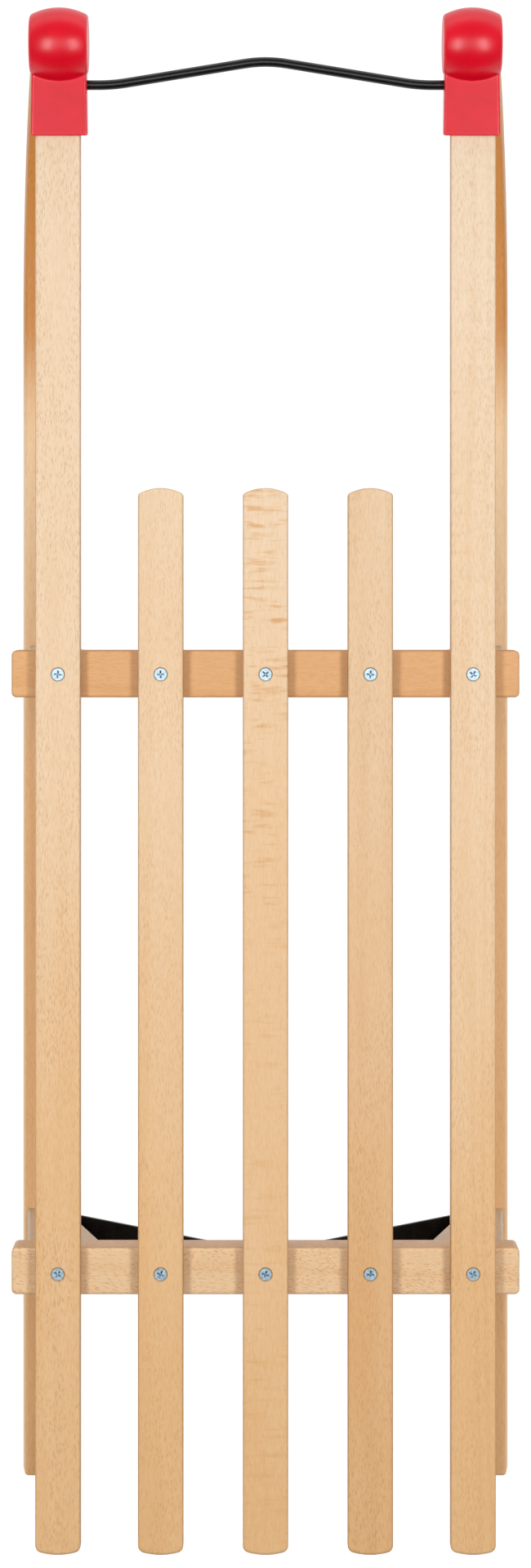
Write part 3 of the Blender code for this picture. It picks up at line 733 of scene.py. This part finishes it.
def add_camera():
    """A camera straight above the sledge, whose frame is shifted towards the rear."""
    lens = bpy.data.cameras.new("camera")
    lens.sensor_fit = "AUTO"
    lens.sensor_width = CAMERA_SENSOR
    lens.lens = CAMERA_LENS
    lens.shift_y = CAMERA_SHIFT
    camera = bpy.data.objects.new("camera", lens)
    camera.location = CAMERA_PLACE
    bpy.context.scene.collection.objects.link(camera)
    bpy.context.scene.camera = camera


# ---- screws


holes = defaultdict(list)
screw_meshes = {}


def hole_mesh(kind, matrix):
    """The hole that a screw goes into, cut past the surface it starts from."""
    profile = [(-kind.length - GAP, TIP_RADIUS + GAP), (TIP_LENGTH - kind.length, kind.shank + GAP)]
    if kind.sunk:
        profile += [
            (-kind.head_height - SUNK_BELOW, kind.shank + GAP),
            (-HEAD_RIM - SUNK_BELOW, kind.head + GAP),
            (0, kind.head + GAP + HOLE_FLARE),
            (DRILL_OVERSHOOT, kind.head + GAP + HOLE_FLARE),
        ]
    else:
        profile.append((DRILL_OVERSHOOT, kind.shank + GAP))
    return mesh_from(lathe(profile, SCREW_SIDES), "hole", matrix)


def threaded_rings(kind, top):
    """Rings of a wood screw's tip and thread, up to a height just under its head."""
    length = kind.length + top
    count = math.ceil(length / THREAD_PITCH * THREAD_STEPS)
    rings = []
    for step in range(count + 1):
        rise = length * step / count
        taper = min(1, rise / TIP_LENGTH)
        crest = TIP_RADIUS + (kind.shank - TIP_RADIUS) * taper
        ring = []
        for x, y in circle(1, SCREW_SIDES):
            phase = (rise / THREAD_PITCH - math.atan2(y, x) / (2 * math.pi)) % 1
            radius = crest - THREAD_DEPTH * taper * abs(2 * phase - 1)
            ring.append((x * radius, y * radius, rise - kind.length))
        rings.append(ring)
    return rings


def head_profile(kind):
    """The head's outline as (height, radius), from its neck up to its top."""
    if kind.sunk:
        top = -SUNK_BELOW
        chamfer = HEAD_RIM / 2
        return [
            (top - kind.head_height, kind.shank * NECK),
            (top - HEAD_RIM, kind.head),
            (top - chamfer, kind.head),
            (top, kind.head - chamfer),
            (top, kind.head - 2 * chamfer),
        ]
    profile = [(GAP, kind.shank * NECK)]
    for height, radius in arc((0, 0), 1, math.pi / 2, 0, DOME_STEPS):
        spread = DOME_TOP + (1 - DOME_TOP) * radius
        profile.append((GAP + kind.head_height * height, kind.head * spread))
    return profile


def recess_wedge(kind, top, turn):
    """One arm of a cross recess: a wedge that narrows downwards."""
    arm = RECESS_ARM * kind.head
    half_width = RECESS_HALF_WIDTH * kind.head
    depth = RECESS_DEPTH * kind.head_height
    rings = []
    for height, size in ((top - depth, 1 - RECESS_TAPER), (top + depth, 1 + RECESS_TAPER)):
        x = arm * size
        y = half_width * size
        rings.append([(x, y, height), (-x, y, height), (-x, -y, height), (x, -y, height)])
    return mesh_from(loft(rings), "wedge", Matrix.Rotation(turn, 4, "Z"))


def screw_mesh(kind):
    """A cross-head wood screw about Z that points down, its seat at height 0."""
    profile = head_profile(kind)
    neck = profile[0][0]
    head = [[(x, y, height) for x, y in circle(radius, SCREW_SIDES)] for height, radius in profile]
    screw = place("screw", mesh_from(loft(threaded_rings(kind, neck - HEAD_RIM) + head), "screw"))
    cut(screw, [recess_wedge(kind, profile[-1][0], turn) for turn in (0, math.pi / 2)])
    return taken_from(screw)


def drive_screw(node, kind, seat, outward, hosts):
    """Put a screw in, its head's face towards outward, and note its hole in its hosts."""
    matrix = turned_to(seat, outward)
    if kind not in screw_meshes:
        screw_meshes[kind] = screw_mesh(kind)
    mesh = screw_meshes[kind].copy()
    mesh.transform(matrix @ Matrix.Rotation(chance.uniform(0, math.pi / 2), 4, "Z"))
    finish_piece(place(f"{node}_body", mesh), node, finish_material(ZINC))
    for host in hosts:
        holes[host].append(hole_mesh(kind, matrix))


# ---- grain


def grain_along_x(point):
    return point.y, point.x, point.z


def grain_along_y(point):
    return point.x, point.y, point.z


def grain_along_z(point):
    return point.x, point.z, point.y


def about_bend(radius, point):
    """The turn and the inset of a point of the runner about one of its bow's arcs."""
    offset = Vector((point.y, point.z)) - bend_centre(radius)
    return math.atan2(offset.x, -offset.y), radius - offset.length


def grain_along_runner(point):
    """Across the runner, along it round its bow, and inwards from its ground edge."""
    across = abs(point.x) - RUNNER_X + LEAN * (point.z - RUNNER_BOTTOM)
    if point.y < BOW_START:
        return across, point.y, point.z - RUNNER_BOTTOM
    turn, inset = about_bend(LOWER_RADIUS, point)
    if turn <= LOWER_TURN:
        return across, BOW_START + LOWER_RADIUS * turn, inset
    turn, inset = about_bend(UPPER_RADIUS, point)
    along = BOW_START + LOWER_RADIUS * LOWER_TURN + UPPER_RADIUS * (turn - LOWER_TURN)
    return across, along, inset


# How far a board's middle lies from where its tree's pith starts: mm across, m along, mm deep.
PITH_ACROSS = (-25, 25)
PITH_ALONG = (2, 9)
PITH_DEPTH = (50, 110)


def lay_grain(piece, along):
    """Store where each point lies in the tree, as (across, along, depth), for the wood's figure."""
    mesh = piece.data
    across, length, depth = (chance.uniform(*span) for span in (PITH_ACROSS, PITH_ALONG, PITH_DEPTH))
    pith = Vector((across * MM, length, depth * MM))
    low = Vector((math.inf,) * 3)
    high = -low
    places = [Vector(along(vertex.co)) for vertex in mesh.vertices]
    for spot in places:
        low = Vector(map(min, low, spot))
        high = Vector(map(max, high, spot))
    centre = (low + high) / 2
    attribute = mesh.attributes.new("grain", "FLOAT_VECTOR", "POINT")
    for value, spot in zip(attribute.data, places):
        value.vector = spot - centre + pith


def add_wooden(node, bm, along, board):
    """Add a wooden piece with its holes cut, its grain laid and its board's look."""
    piece = place(f"{node}_beech", mesh_from(bm, node))
    cut(piece, holes[node])
    lay_grain(piece, along)
    finish_piece(piece, node, beech(node, board))


# ---- runners and soles


def bend_centre(radius):
    """The centre of the bow's lower or upper arc, as Y and Z."""
    lower = Vector((BOW_START, RUNNER_BOTTOM + LOWER_RADIUS))
    direction = Vector((math.sin(LOWER_TURN), -math.cos(LOWER_TURN)))
    return lower + direction * (LOWER_RADIUS - radius)


def flat_point(y, inset):
    """Y and Z of a point on the runner's straight part, inset from its ground edge."""
    return y, RUNNER_BOTTOM + inset


def bow_point(turn, inset):
    """Y and Z of a point on the bow, where the runner has turned up by an angle."""
    radius = LOWER_RADIUS if turn <= LOWER_TURN else UPPER_RADIUS
    centre = bend_centre(radius)
    reach = radius - inset
    return centre.x + reach * math.sin(turn), centre.y - reach * math.cos(turn)


def bow_sections(start, end):
    """Sections of the bow between two angles, as functions of the inset."""
    steps = math.ceil((end - start) / BOW_STEP)
    return [partial(bow_point, start + (end - start) * step / steps) for step in range(steps + 1)]


def leaning(side, across, y, height):
    """A point near the runner, whose middle leans inwards as it rises."""
    centre = RUNNER_X - LEAN * (height - RUNNER_BOTTOM)
    return side * (centre + across), y, height


def strip_ring(side, section, width, inner, outer, corner, shrink=0):
    """One ring of a strip that follows the runner, between two insets from its ground edge."""
    outline = rounded_rectangle(width - 2 * shrink, outer - inner - 2 * shrink, corner - shrink)
    depth = (inner + outer) / 2
    return [leaning(side, x, *section(depth + z)) for x, z in outline]


def bow_strip(side, start, end, *shape):
    """A strip that follows the bow from one angle to another."""
    return loft([strip_ring(side, section, *shape) for section in bow_sections(start, end)])


def runner_strip(side, rear, end_turn, eased, *shape):
    """A strip from its rear end, which is eased, to an angle on the bow."""
    rings = []
    for shrink, forward in rim(eased):
        rings.append(strip_ring(side, partial(flat_point, rear + forward), *shape, shrink))
    sections = bow_sections(0, LOWER_TURN) + bow_sections(LOWER_TURN, end_turn)[1:]
    rings += [strip_ring(side, section, *shape) for section in sections]
    return loft(rings)


def add_runner(name, side):
    node = f"runner_{name}"
    shape = (RUNNER_WIDTH, 0, RUNNER_THICKNESS, RUNNER_CORNER)
    bm = runner_strip(side, RUNNER_LOW.y, RUNNER_END_TURN, EDGE_RADIUS, *shape)
    add_wooden(node, bm, grain_along_runner, RUNNER_BOARD)


def add_sole(name, side):
    """The steel strip under the runner, which follows it part of the way up the bow."""
    node = f"runner_sole_{name}"
    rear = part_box(node)[0].y
    shape = (SOLE_WIDTH, -SOLE_THICKNESS, -GAP, SOLE_CORNER)
    bm = runner_strip(side, rear, SOLE_END_TURN, SOLE_CORNER / 2, *shape)
    sole = place(f"{node}_steel", mesh_from(bm, node))
    cut(sole, holes[node])
    finish_piece(sole, node, finish_material(BRIGHT_STEEL))


# ---- legs and crossbars


def leg_ring(x, y, width, depth, height):
    outline = rounded_rectangle(width, depth, LEG_CORNER)
    return [(x + across, y + along, height) for across, along in outline]


def leg_places(node, side):
    """The X of the leg's top and of its foot, and its Y."""
    low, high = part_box(node)
    inner, outer = sorted((abs(low.x), abs(high.x)))
    top_x = side * (inner + LEG_TOP_WIDTH / 2)
    foot_x = side * (outer - LEG_FOOT_WIDTH / 2)
    return top_x, foot_x, (low.y + high.y) / 2


def add_leg(node, side):
    """A leg that widens upwards, with a tenon at each end."""
    top_x, foot_x, y = leg_places(node, side)
    low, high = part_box(node)
    foot = RUNNER_TOP + GAP
    top = CROSSBAR_BOTTOM - GAP
    lower_tenon = (foot_x, y, LOWER_TENON_WIDTH, TENON_DEPTH)
    upper_tenon = (top_x, y, UPPER_TENON_WIDTH, TENON_DEPTH)
    rings = [
        leg_ring(*lower_tenon, low.z),
        leg_ring(*lower_tenon, foot),
        leg_ring(foot_x, y, LEG_FOOT_WIDTH, high.y - low.y, foot),
        leg_ring(top_x, y, LEG_TOP_WIDTH, LEG_TOP_DEPTH, top),
        leg_ring(*upper_tenon, top),
        leg_ring(*upper_tenon, high.z),
    ]
    add_wooden(node, loft(rings), grain_along_z, LEG_BOARD)


def mortise(x, y, width, face_height, tenon_end):
    """A slot that reaches as far past its host's face as it goes in."""
    depth = abs(tenon_end - face_height) + GAP
    slot = box(width + 2 * GAP, TENON_DEPTH + 2 * GAP, 2 * depth)
    return mesh_from(slot, "mortise", Matrix.Translation((x, y, face_height)))


def note_mortises(end, name, side):
    """The mortises in the runner and in the crossbar that take a leg's tenons."""
    node = f"leg_{end}_{name}"
    top_x, foot_x, y = leg_places(node, side)
    low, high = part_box(node)
    foot = mortise(foot_x, y, LOWER_TENON_WIDTH, RUNNER_TOP, low.z)
    top = mortise(top_x, y, UPPER_TENON_WIDTH, CROSSBAR_BOTTOM, high.z)
    holes[f"runner_{name}"].append(foot)
    holes[f"crossbar_{end}"].append(top)


def crossbar_outline(node, inset):
    low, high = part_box(node)
    centre = (low + high) / 2
    width = high.x - low.x - 2 * inset
    depth = high.y - low.y - 2 * inset
    outline = rounded_rectangle(width, depth, CROSSBAR_CORNER - inset)
    return [(centre.x + x, centre.y + y) for x, y in outline]


# ---- slats


def crowned_end(half, radius, corner, sign):
    """Half of a slat's outline: an end that bulges as an arc, with rounded corners.

    The end's tip is at the origin, and the points run from the slat's +X edge to its -X edge
    for sign 1, and back again for sign -1.
    """
    corner_x = half - corner
    corner_y = math.sqrt((radius - corner) ** 2 - corner_x ** 2) - radius
    meeting = math.atan2(corner_y + radius, corner_x)
    points = [(half, corner_y - FLAT_MARGIN)]
    points += arc((corner_x, corner_y), corner, 0, meeting, CORNER_STEPS)
    points += arc((0, -radius), radius, meeting, math.pi - meeting, CROWN_STEPS)[1:-1]
    points += arc((-corner_x, corner_y), corner, math.pi - meeting, math.pi, CORNER_STEPS)
    points.append((-half, corner_y - FLAT_MARGIN))
    return [(sign * x, sign * y) for x, y in points]


def slat_outline(node, inset):
    low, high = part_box(node)
    centre = (low.x + high.x) / 2
    half = (high.x - low.x) / 2 - inset
    front = crowned_end(half, SLAT_FRONT_RADIUS - inset, SLAT_FRONT_CORNER - inset, 1)
    rear = crowned_end(half, SLAT_REAR_RADIUS - inset, SLAT_REAR_CORNER - inset, -1)
    outline = [(centre + x, high.y - inset + y) for x, y in front]
    return outline + [(centre + x, low.y + inset + y) for x, y in rear]


def add_board(node, outline, along):
    """A crossbar or a slat, from its outline at an inset."""
    low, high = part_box(node)
    bm = rolled_slab(partial(outline, node), low.z, high.z)
    add_wooden(node, bm, along, BOARDS[node])


def add_slat(name):
    add_board(f"slat_{name}", slat_outline, grain_along_y)


# ---- horn caps


def sleeve(cap_x, rear, front):
    """The cap's rear end, which tapers a little and runs forward into the knob.

    Its rear face slants, so that the sleeve is longest along its top.
    """
    centre = (SLAT_BOTTOM + SLAT_TOP) / 2
    height = SLAT_TOP - SLAT_BOTTOM + 2 * CAP_WALL
    ends = ((rear, SLEEVE_REAR_WIDTH, SLEEVE_SLANT), (front, SLEEVE_FRONT_WIDTH, 0))
    rings = []
    for y, width, slant in ends:
        outline = rounded_rectangle(width, height, SLEEVE_CORNER)
        rings.append([(cap_x + x, y + slant * (0.5 - z / height), centre + z) for x, z in outline])
    return loft(rings)


def knob():
    """A barrel about Z: crowned along its length, with rounded rims."""
    half = KNOB_WIDTH / 2
    crown_radius = (half ** 2 + KNOB_CROWN ** 2) / (2 * KNOB_CROWN)
    crown_centre = KNOB_RADIUS - crown_radius
    rim_height = half - KNOB_EDGE
    rim_radius = crown_centre + math.sqrt((crown_radius - KNOB_EDGE) ** 2 - rim_height ** 2)
    meeting = math.atan2(rim_height, rim_radius - crown_centre)
    upper_rim = arc((rim_radius, rim_height), KNOB_EDGE, meeting, math.pi / 2, KNOB_EDGE_STEPS)
    crown = arc((crown_centre, 0), crown_radius, -meeting, meeting, KNOB_CROWN_STEPS)
    lower_rim = [(radius, -height) for radius, height in reversed(upper_rim)]
    profile = lower_rim + crown[1:-1] + upper_rim
    return lathe([(height, radius) for radius, height in profile], KNOB_SIDES)


def rod(radius, start, end):
    """A plain round bar about X, between two places along it."""
    return loft([[(x, y, z) for y, z in circle(radius, BORE_SIDES)] for x in (start, end)])


def slat_socket(cap_rear):
    low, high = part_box("slat_outer_right")
    width = high.x - low.x + 2 * GAP
    depth = high.y + GAP - cap_rear
    matrix = Matrix.Translation(((low.x + high.x) / 2, cap_rear, (SLAT_BOTTOM + SLAT_TOP) / 2))
    return mesh_from(box(width, 2 * depth, SLAT_TOP - SLAT_BOTTOM + 2 * GAP), "socket", matrix)


def runner_socket():
    end = RUNNER_END_TURN + GAP / UPPER_RADIUS * SOCKET_SLACK
    shape = (RUNNER_WIDTH + 2 * GAP, -GAP, RUNNER_THICKNESS + GAP, RUNNER_CORNER)
    return mesh_from(bow_strip(1, SOCKET_START_TURN, end, *shape), "socket")


def bar_bore(cap_x):
    low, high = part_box("tow_bar")
    start = cap_x - KNOB_WIDTH / 2 - BORE_OVERSHOOT
    matrix = Matrix.Translation((0, low.y + BAR_RADIUS, (low.z + high.z) / 2))
    return mesh_from(rod(BAR_RADIUS + GAP, start, high.x + GAP), "bore", matrix)


def build_cap():
    """The right horn cap: a sleeve for the slat, and a knob that takes the runner's end."""
    low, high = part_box("horn_cap_right")
    cap_x = (low.x + high.x) / 2
    knob_y = high.y - KNOB_RADIUS
    cap = place("horn_cap_right_moulding", mesh_from(sleeve(cap_x, low.y, knob_y), "sleeve"))
    knob_mesh = mesh_from(knob(), "knob", turned_to((cap_x, knob_y, SLAT_TOP), (1, 0, 0)))
    combine(cap, [knob_mesh], "UNION")
    sockets = [slat_socket(low.y), runner_socket(), bar_bore(cap_x)]
    cut(cap, sockets + holes["horn_cap_right"])
    soften(cap)
    return cap


def soften(cap):
    """Give the moulding its small fillets, by remeshing it finely and smoothing it."""
    remesh = cap.modifiers.new("remesh", "REMESH")
    remesh.mode = "VOXEL"
    remesh.voxel_size = CAP_GRAIN
    smooth = cap.modifiers.new("smooth", "SMOOTH")
    smooth.factor = CAP_SMOOTH_SHARE
    smooth.iterations = CAP_SMOOTHING
    apply_modifiers(cap)


def add_caps():
    right = build_cap()
    mirrored = right.data.copy()
    mirrored.transform(Matrix.Scale(-1, 4, (1, 0, 0)))
    mirrored.flip_normals()
    left = place("horn_cap_left_moulding", mirrored)
    finish_piece(right, "horn_cap_right", finish_material(RED_PLASTIC))
    finish_piece(left, "horn_cap_left", finish_material(RED_PLASTIC))


# ---- tow bar and braces


def bar_bow(bow, x):
    """How far forward of its ends the tow bar lies: two slopes, rounded where they meet."""
    slope_half = (BAR_BEND_START + BAR_BEND_END - BAR_APEX_HALF) / 2
    slope = bow / slope_half
    x = abs(x)
    if x >= BAR_BEND_END:
        return 0
    if x >= BAR_BEND_START:
        return slope * (BAR_BEND_END - x) ** 2 / (2 * (BAR_BEND_END - BAR_BEND_START))
    if x >= BAR_APEX_HALF:
        return slope * ((BAR_BEND_START + BAR_BEND_END) / 2 - x)
    return bow - slope * x ** 2 / (2 * BAR_APEX_HALF)


def bar_places(half_length):
    """Places across the sledge where the tow bar has a section, as (x, shrink)."""
    bend_length = BAR_BEND_END - BAR_BEND_START
    apex = [BAR_APEX_HALF * step / BAR_APEX_STEPS for step in range(BAR_APEX_STEPS + 1)]
    bend = [BAR_BEND_START + bend_length * step / BAR_BEND_STEPS for step in range(BAR_BEND_STEPS + 1)]
    rims = [(half_length - inward, shrink) for shrink, inward in reversed(rim(BAR_EDGE))]
    half = [(x, 0) for x in apex + bend] + rims
    return [(-x, shrink) for x, shrink in reversed(half[1:])] + half


def add_tow_bar():
    low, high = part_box("tow_bar")
    base_y = low.y + BAR_RADIUS
    height = (low.z + high.z) / 2
    bow = high.y - BAR_RADIUS - base_y
    rings = []
    for x, shrink in bar_places(high.x):
        rise = bar_bow(bow, x + BAR_NUDGE) - bar_bow(bow, x - BAR_NUDGE)
        slope = math.atan2(rise, 2 * BAR_NUDGE)
        centre_y = base_y + bar_bow(bow, x)
        ring = []
        for along, up in circle(BAR_RADIUS - shrink, BAR_SIDES):
            ring.append((x - along * math.sin(slope), centre_y + along * math.cos(slope), height + up))
        rings.append(ring)
    bar = place("tow_bar_rod", mesh_from(loft(rings), "tow_bar"))
    finish_piece(bar, "tow_bar", finish_material(BLACK_BAR))


def bend_at(before, corner, after):
    """Replace a sharp corner by a smooth bend that starts and ends the same distance from it."""
    start = corner + (before - corner).normalized() * BRACE_BEND_REACH
    end = corner + (after - corner).normalized() * BRACE_BEND_REACH
    steps = [step / BRACE_BEND_STEPS for step in range(BRACE_BEND_STEPS + 1)]
    return [start.lerp(corner, t).lerp(corner.lerp(end, t), t) for t in steps]


def brace_centreline(node):
    """Half of the brace's middle line as (x, z), up to its last bend, and the point where it ends."""
    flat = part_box(node)[1].z - BRACE_THICKNESS / 2
    tab_face = RUNNER_X - RUNNER_WIDTH / 2 - GAP - BRACE_THICKNESS / 2
    tab_x = {z: tab_face - LEAN * (z - RUNNER_BOTTOM) for z in (BRACE_BEND_HEIGHT, TAB_BOTTOM)}
    corners = [
        Vector((0, flat)),
        Vector((BRACE_FLAT_HALF, flat)),
        Vector((tab_x[BRACE_BEND_HEIGHT], BRACE_BEND_HEIGHT)),
        Vector((tab_x[TAB_BOTTOM], TAB_BOTTOM)),
    ]
    return [corners[0]] + bend_at(*corners[:3]) + bend_at(*corners[1:]), corners[3]


def brace_sections(node):
    """Sections of half the brace as (point, how far each of its edges is drawn in there)."""
    line, end = brace_centreline(node)
    sections = [(point, 0) for point in line]
    inwards = (line[-1] - end).normalized()
    for narrowing, distance in reversed(rim(BRACE_CORNER)[1:]):
        sections.append((end + inwards * distance, narrowing))
    return sections


def brace_ring(point, direction, width, y):
    """A ring of the brace at a point (x, z) of its line, square to the line's direction."""
    ring = []
    for across, out in rounded_rectangle(width, BRACE_THICKNESS, BRACE_EDGE):
        offset = Vector((-direction.y, direction.x)) * out
        ring.append((point.x + offset.x, y + across, point.y + offset.y))
    return ring


def add_brace(end):
    """A flat steel bar under the crossbar, bent down to both runners, with rounded ends."""
    node = f"brace_{end}"
    low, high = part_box(node)
    right = brace_sections(node)
    sections = [(Vector((-point.x, point.y)), narrowing) for point, narrowing in reversed(right[1:])]
    sections += right
    rings = []
    for index, (point, narrowing) in enumerate(sections):
        ahead = sections[min(index + 1, len(sections) - 1)][0]
        behind = sections[max(index - 1, 0)][0]
        direction = (ahead - behind).normalized()
        width = high.y - low.y - 2 * narrowing
        rings.append(brace_ring(point, direction, width, (low.y + high.y) / 2))
    brace = place(f"{node}_strap", mesh_from(loft(rings), node))
    cut(brace, holes[node])
    finish_piece(brace, node, finish_material(BLACK_BRACE))


# ---- where screws go


def drive_slat_screws():
    slats = ("slat_outer_left", "slat_inner_left", "slat_centre", "slat_inner_right",
             "slat_outer_right")
    for end in ENDS:
        bar = f"crossbar_{end}"
        for number, slat in enumerate(slats, start=1):
            seat = (middle(slat).x, middle(bar).y, SLAT_TOP)
            drive_screw(f"slat_screw_{end}_{number}", SLAT_SCREW, seat, (0, 0, 1), (slat, bar))


def drive_brace_screws(end):
    """Two screws up into the crossbar, and one out into each runner."""
    brace = f"brace_{end}"
    y = middle(brace).y
    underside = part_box(brace)[1].z - BRACE_THICKNESS
    tab_face = RUNNER_X - RUNNER_WIDTH / 2 - GAP - BRACE_THICKNESS
    tab_x = tab_face - LEAN * (BRACE_SCREW_HEIGHT - RUNNER_BOTTOM)
    for name, side in SIDES.items():
        seat = (side * BRACE_SCREW_X, y, underside)
        hosts = (brace, f"crossbar_{end}")
        drive_screw(f"brace_screw_{end}_{name}", BRACE_SCREW, seat, (0, 0, -1), hosts)
        seat = (side * tab_x, y, BRACE_SCREW_HEIGHT)
        hosts = (brace, f"runner_{name}")
        drive_screw(f"tab_screw_{end}_{name}", BRACE_SCREW, seat, (-side, 0, -LEAN), hosts)


def drive_sole_screws(name, side):
    """Sunk screws up through the sole: a row on the straight part and one on the bow."""
    seats = [(flat_point(y, -SOLE_THICKNESS), 0) for y in SOLE_SCREW_PLACES]
    seats.append((bow_point(SOLE_SCREW_TURN, -SOLE_THICKNESS), SOLE_SCREW_TURN))
    hosts = (f"runner_sole_{name}", f"runner_{name}")
    for number, ((y, height), turn) in enumerate(seats, start=1):
        seat = leaning(side, 0, y, height)
        outward = (0, math.sin(turn), -math.cos(turn))
        drive_screw(f"sole_screw_{name}_{number}", SOLE_SCREW, seat, outward, hosts)


def drive_cap_screws(name, side):
    """One screw up through the sleeve into the slat, and one into the runner's end from behind.

    The latter's head stands off the runner.
    """
    cap = f"horn_cap_{name}"
    slat = f"slat_outer_{name}"
    seat = (middle(slat).x, SLEEVE_SCREW_Y, SLAT_BOTTOM - CAP_WALL)
    drive_screw(f"cap_screw_slat_{name}", CAP_SCREW, seat, (0, 0, -1), (cap, slat))
    inset = RUNNER_THICKNESS + RUNNER_SCREW_STANDOFF
    seat = leaning(side, 0, *bow_point(RUNNER_SCREW_TURN, inset))
    outward = (0, -math.sin(RUNNER_SCREW_TURN), math.cos(RUNNER_SCREW_TURN))
    drive_screw(f"cap_screw_runner_{name}", CAP_SCREW, seat, outward, (cap, f"runner_{name}"))


# ---- the sledge


def add_sledge():
    drive_slat_screws()
    for end in ENDS:
        drive_brace_screws(end)
    for name, side in SIDES.items():
        drive_sole_screws(name, side)
        drive_cap_screws(name, side)
    for end in ENDS:
        for name, side in SIDES.items():
            note_mortises(end, name, side)
            add_leg(f"leg_{end}_{name}", side)
        add_board(f"crossbar_{end}", crossbar_outline, grain_along_x)
        add_brace(end)
    for name, side in SIDES.items():
        add_runner(name, side)
        add_sole(name, side)
        add_slat(f"outer_{name}")
        add_slat(f"inner_{name}")
    add_slat("centre")
    add_caps()
    add_tow_bar()


add_sledge()
add_studio()
add_camera()
bpy.context.scene.view_settings.view_transform = "Standard"
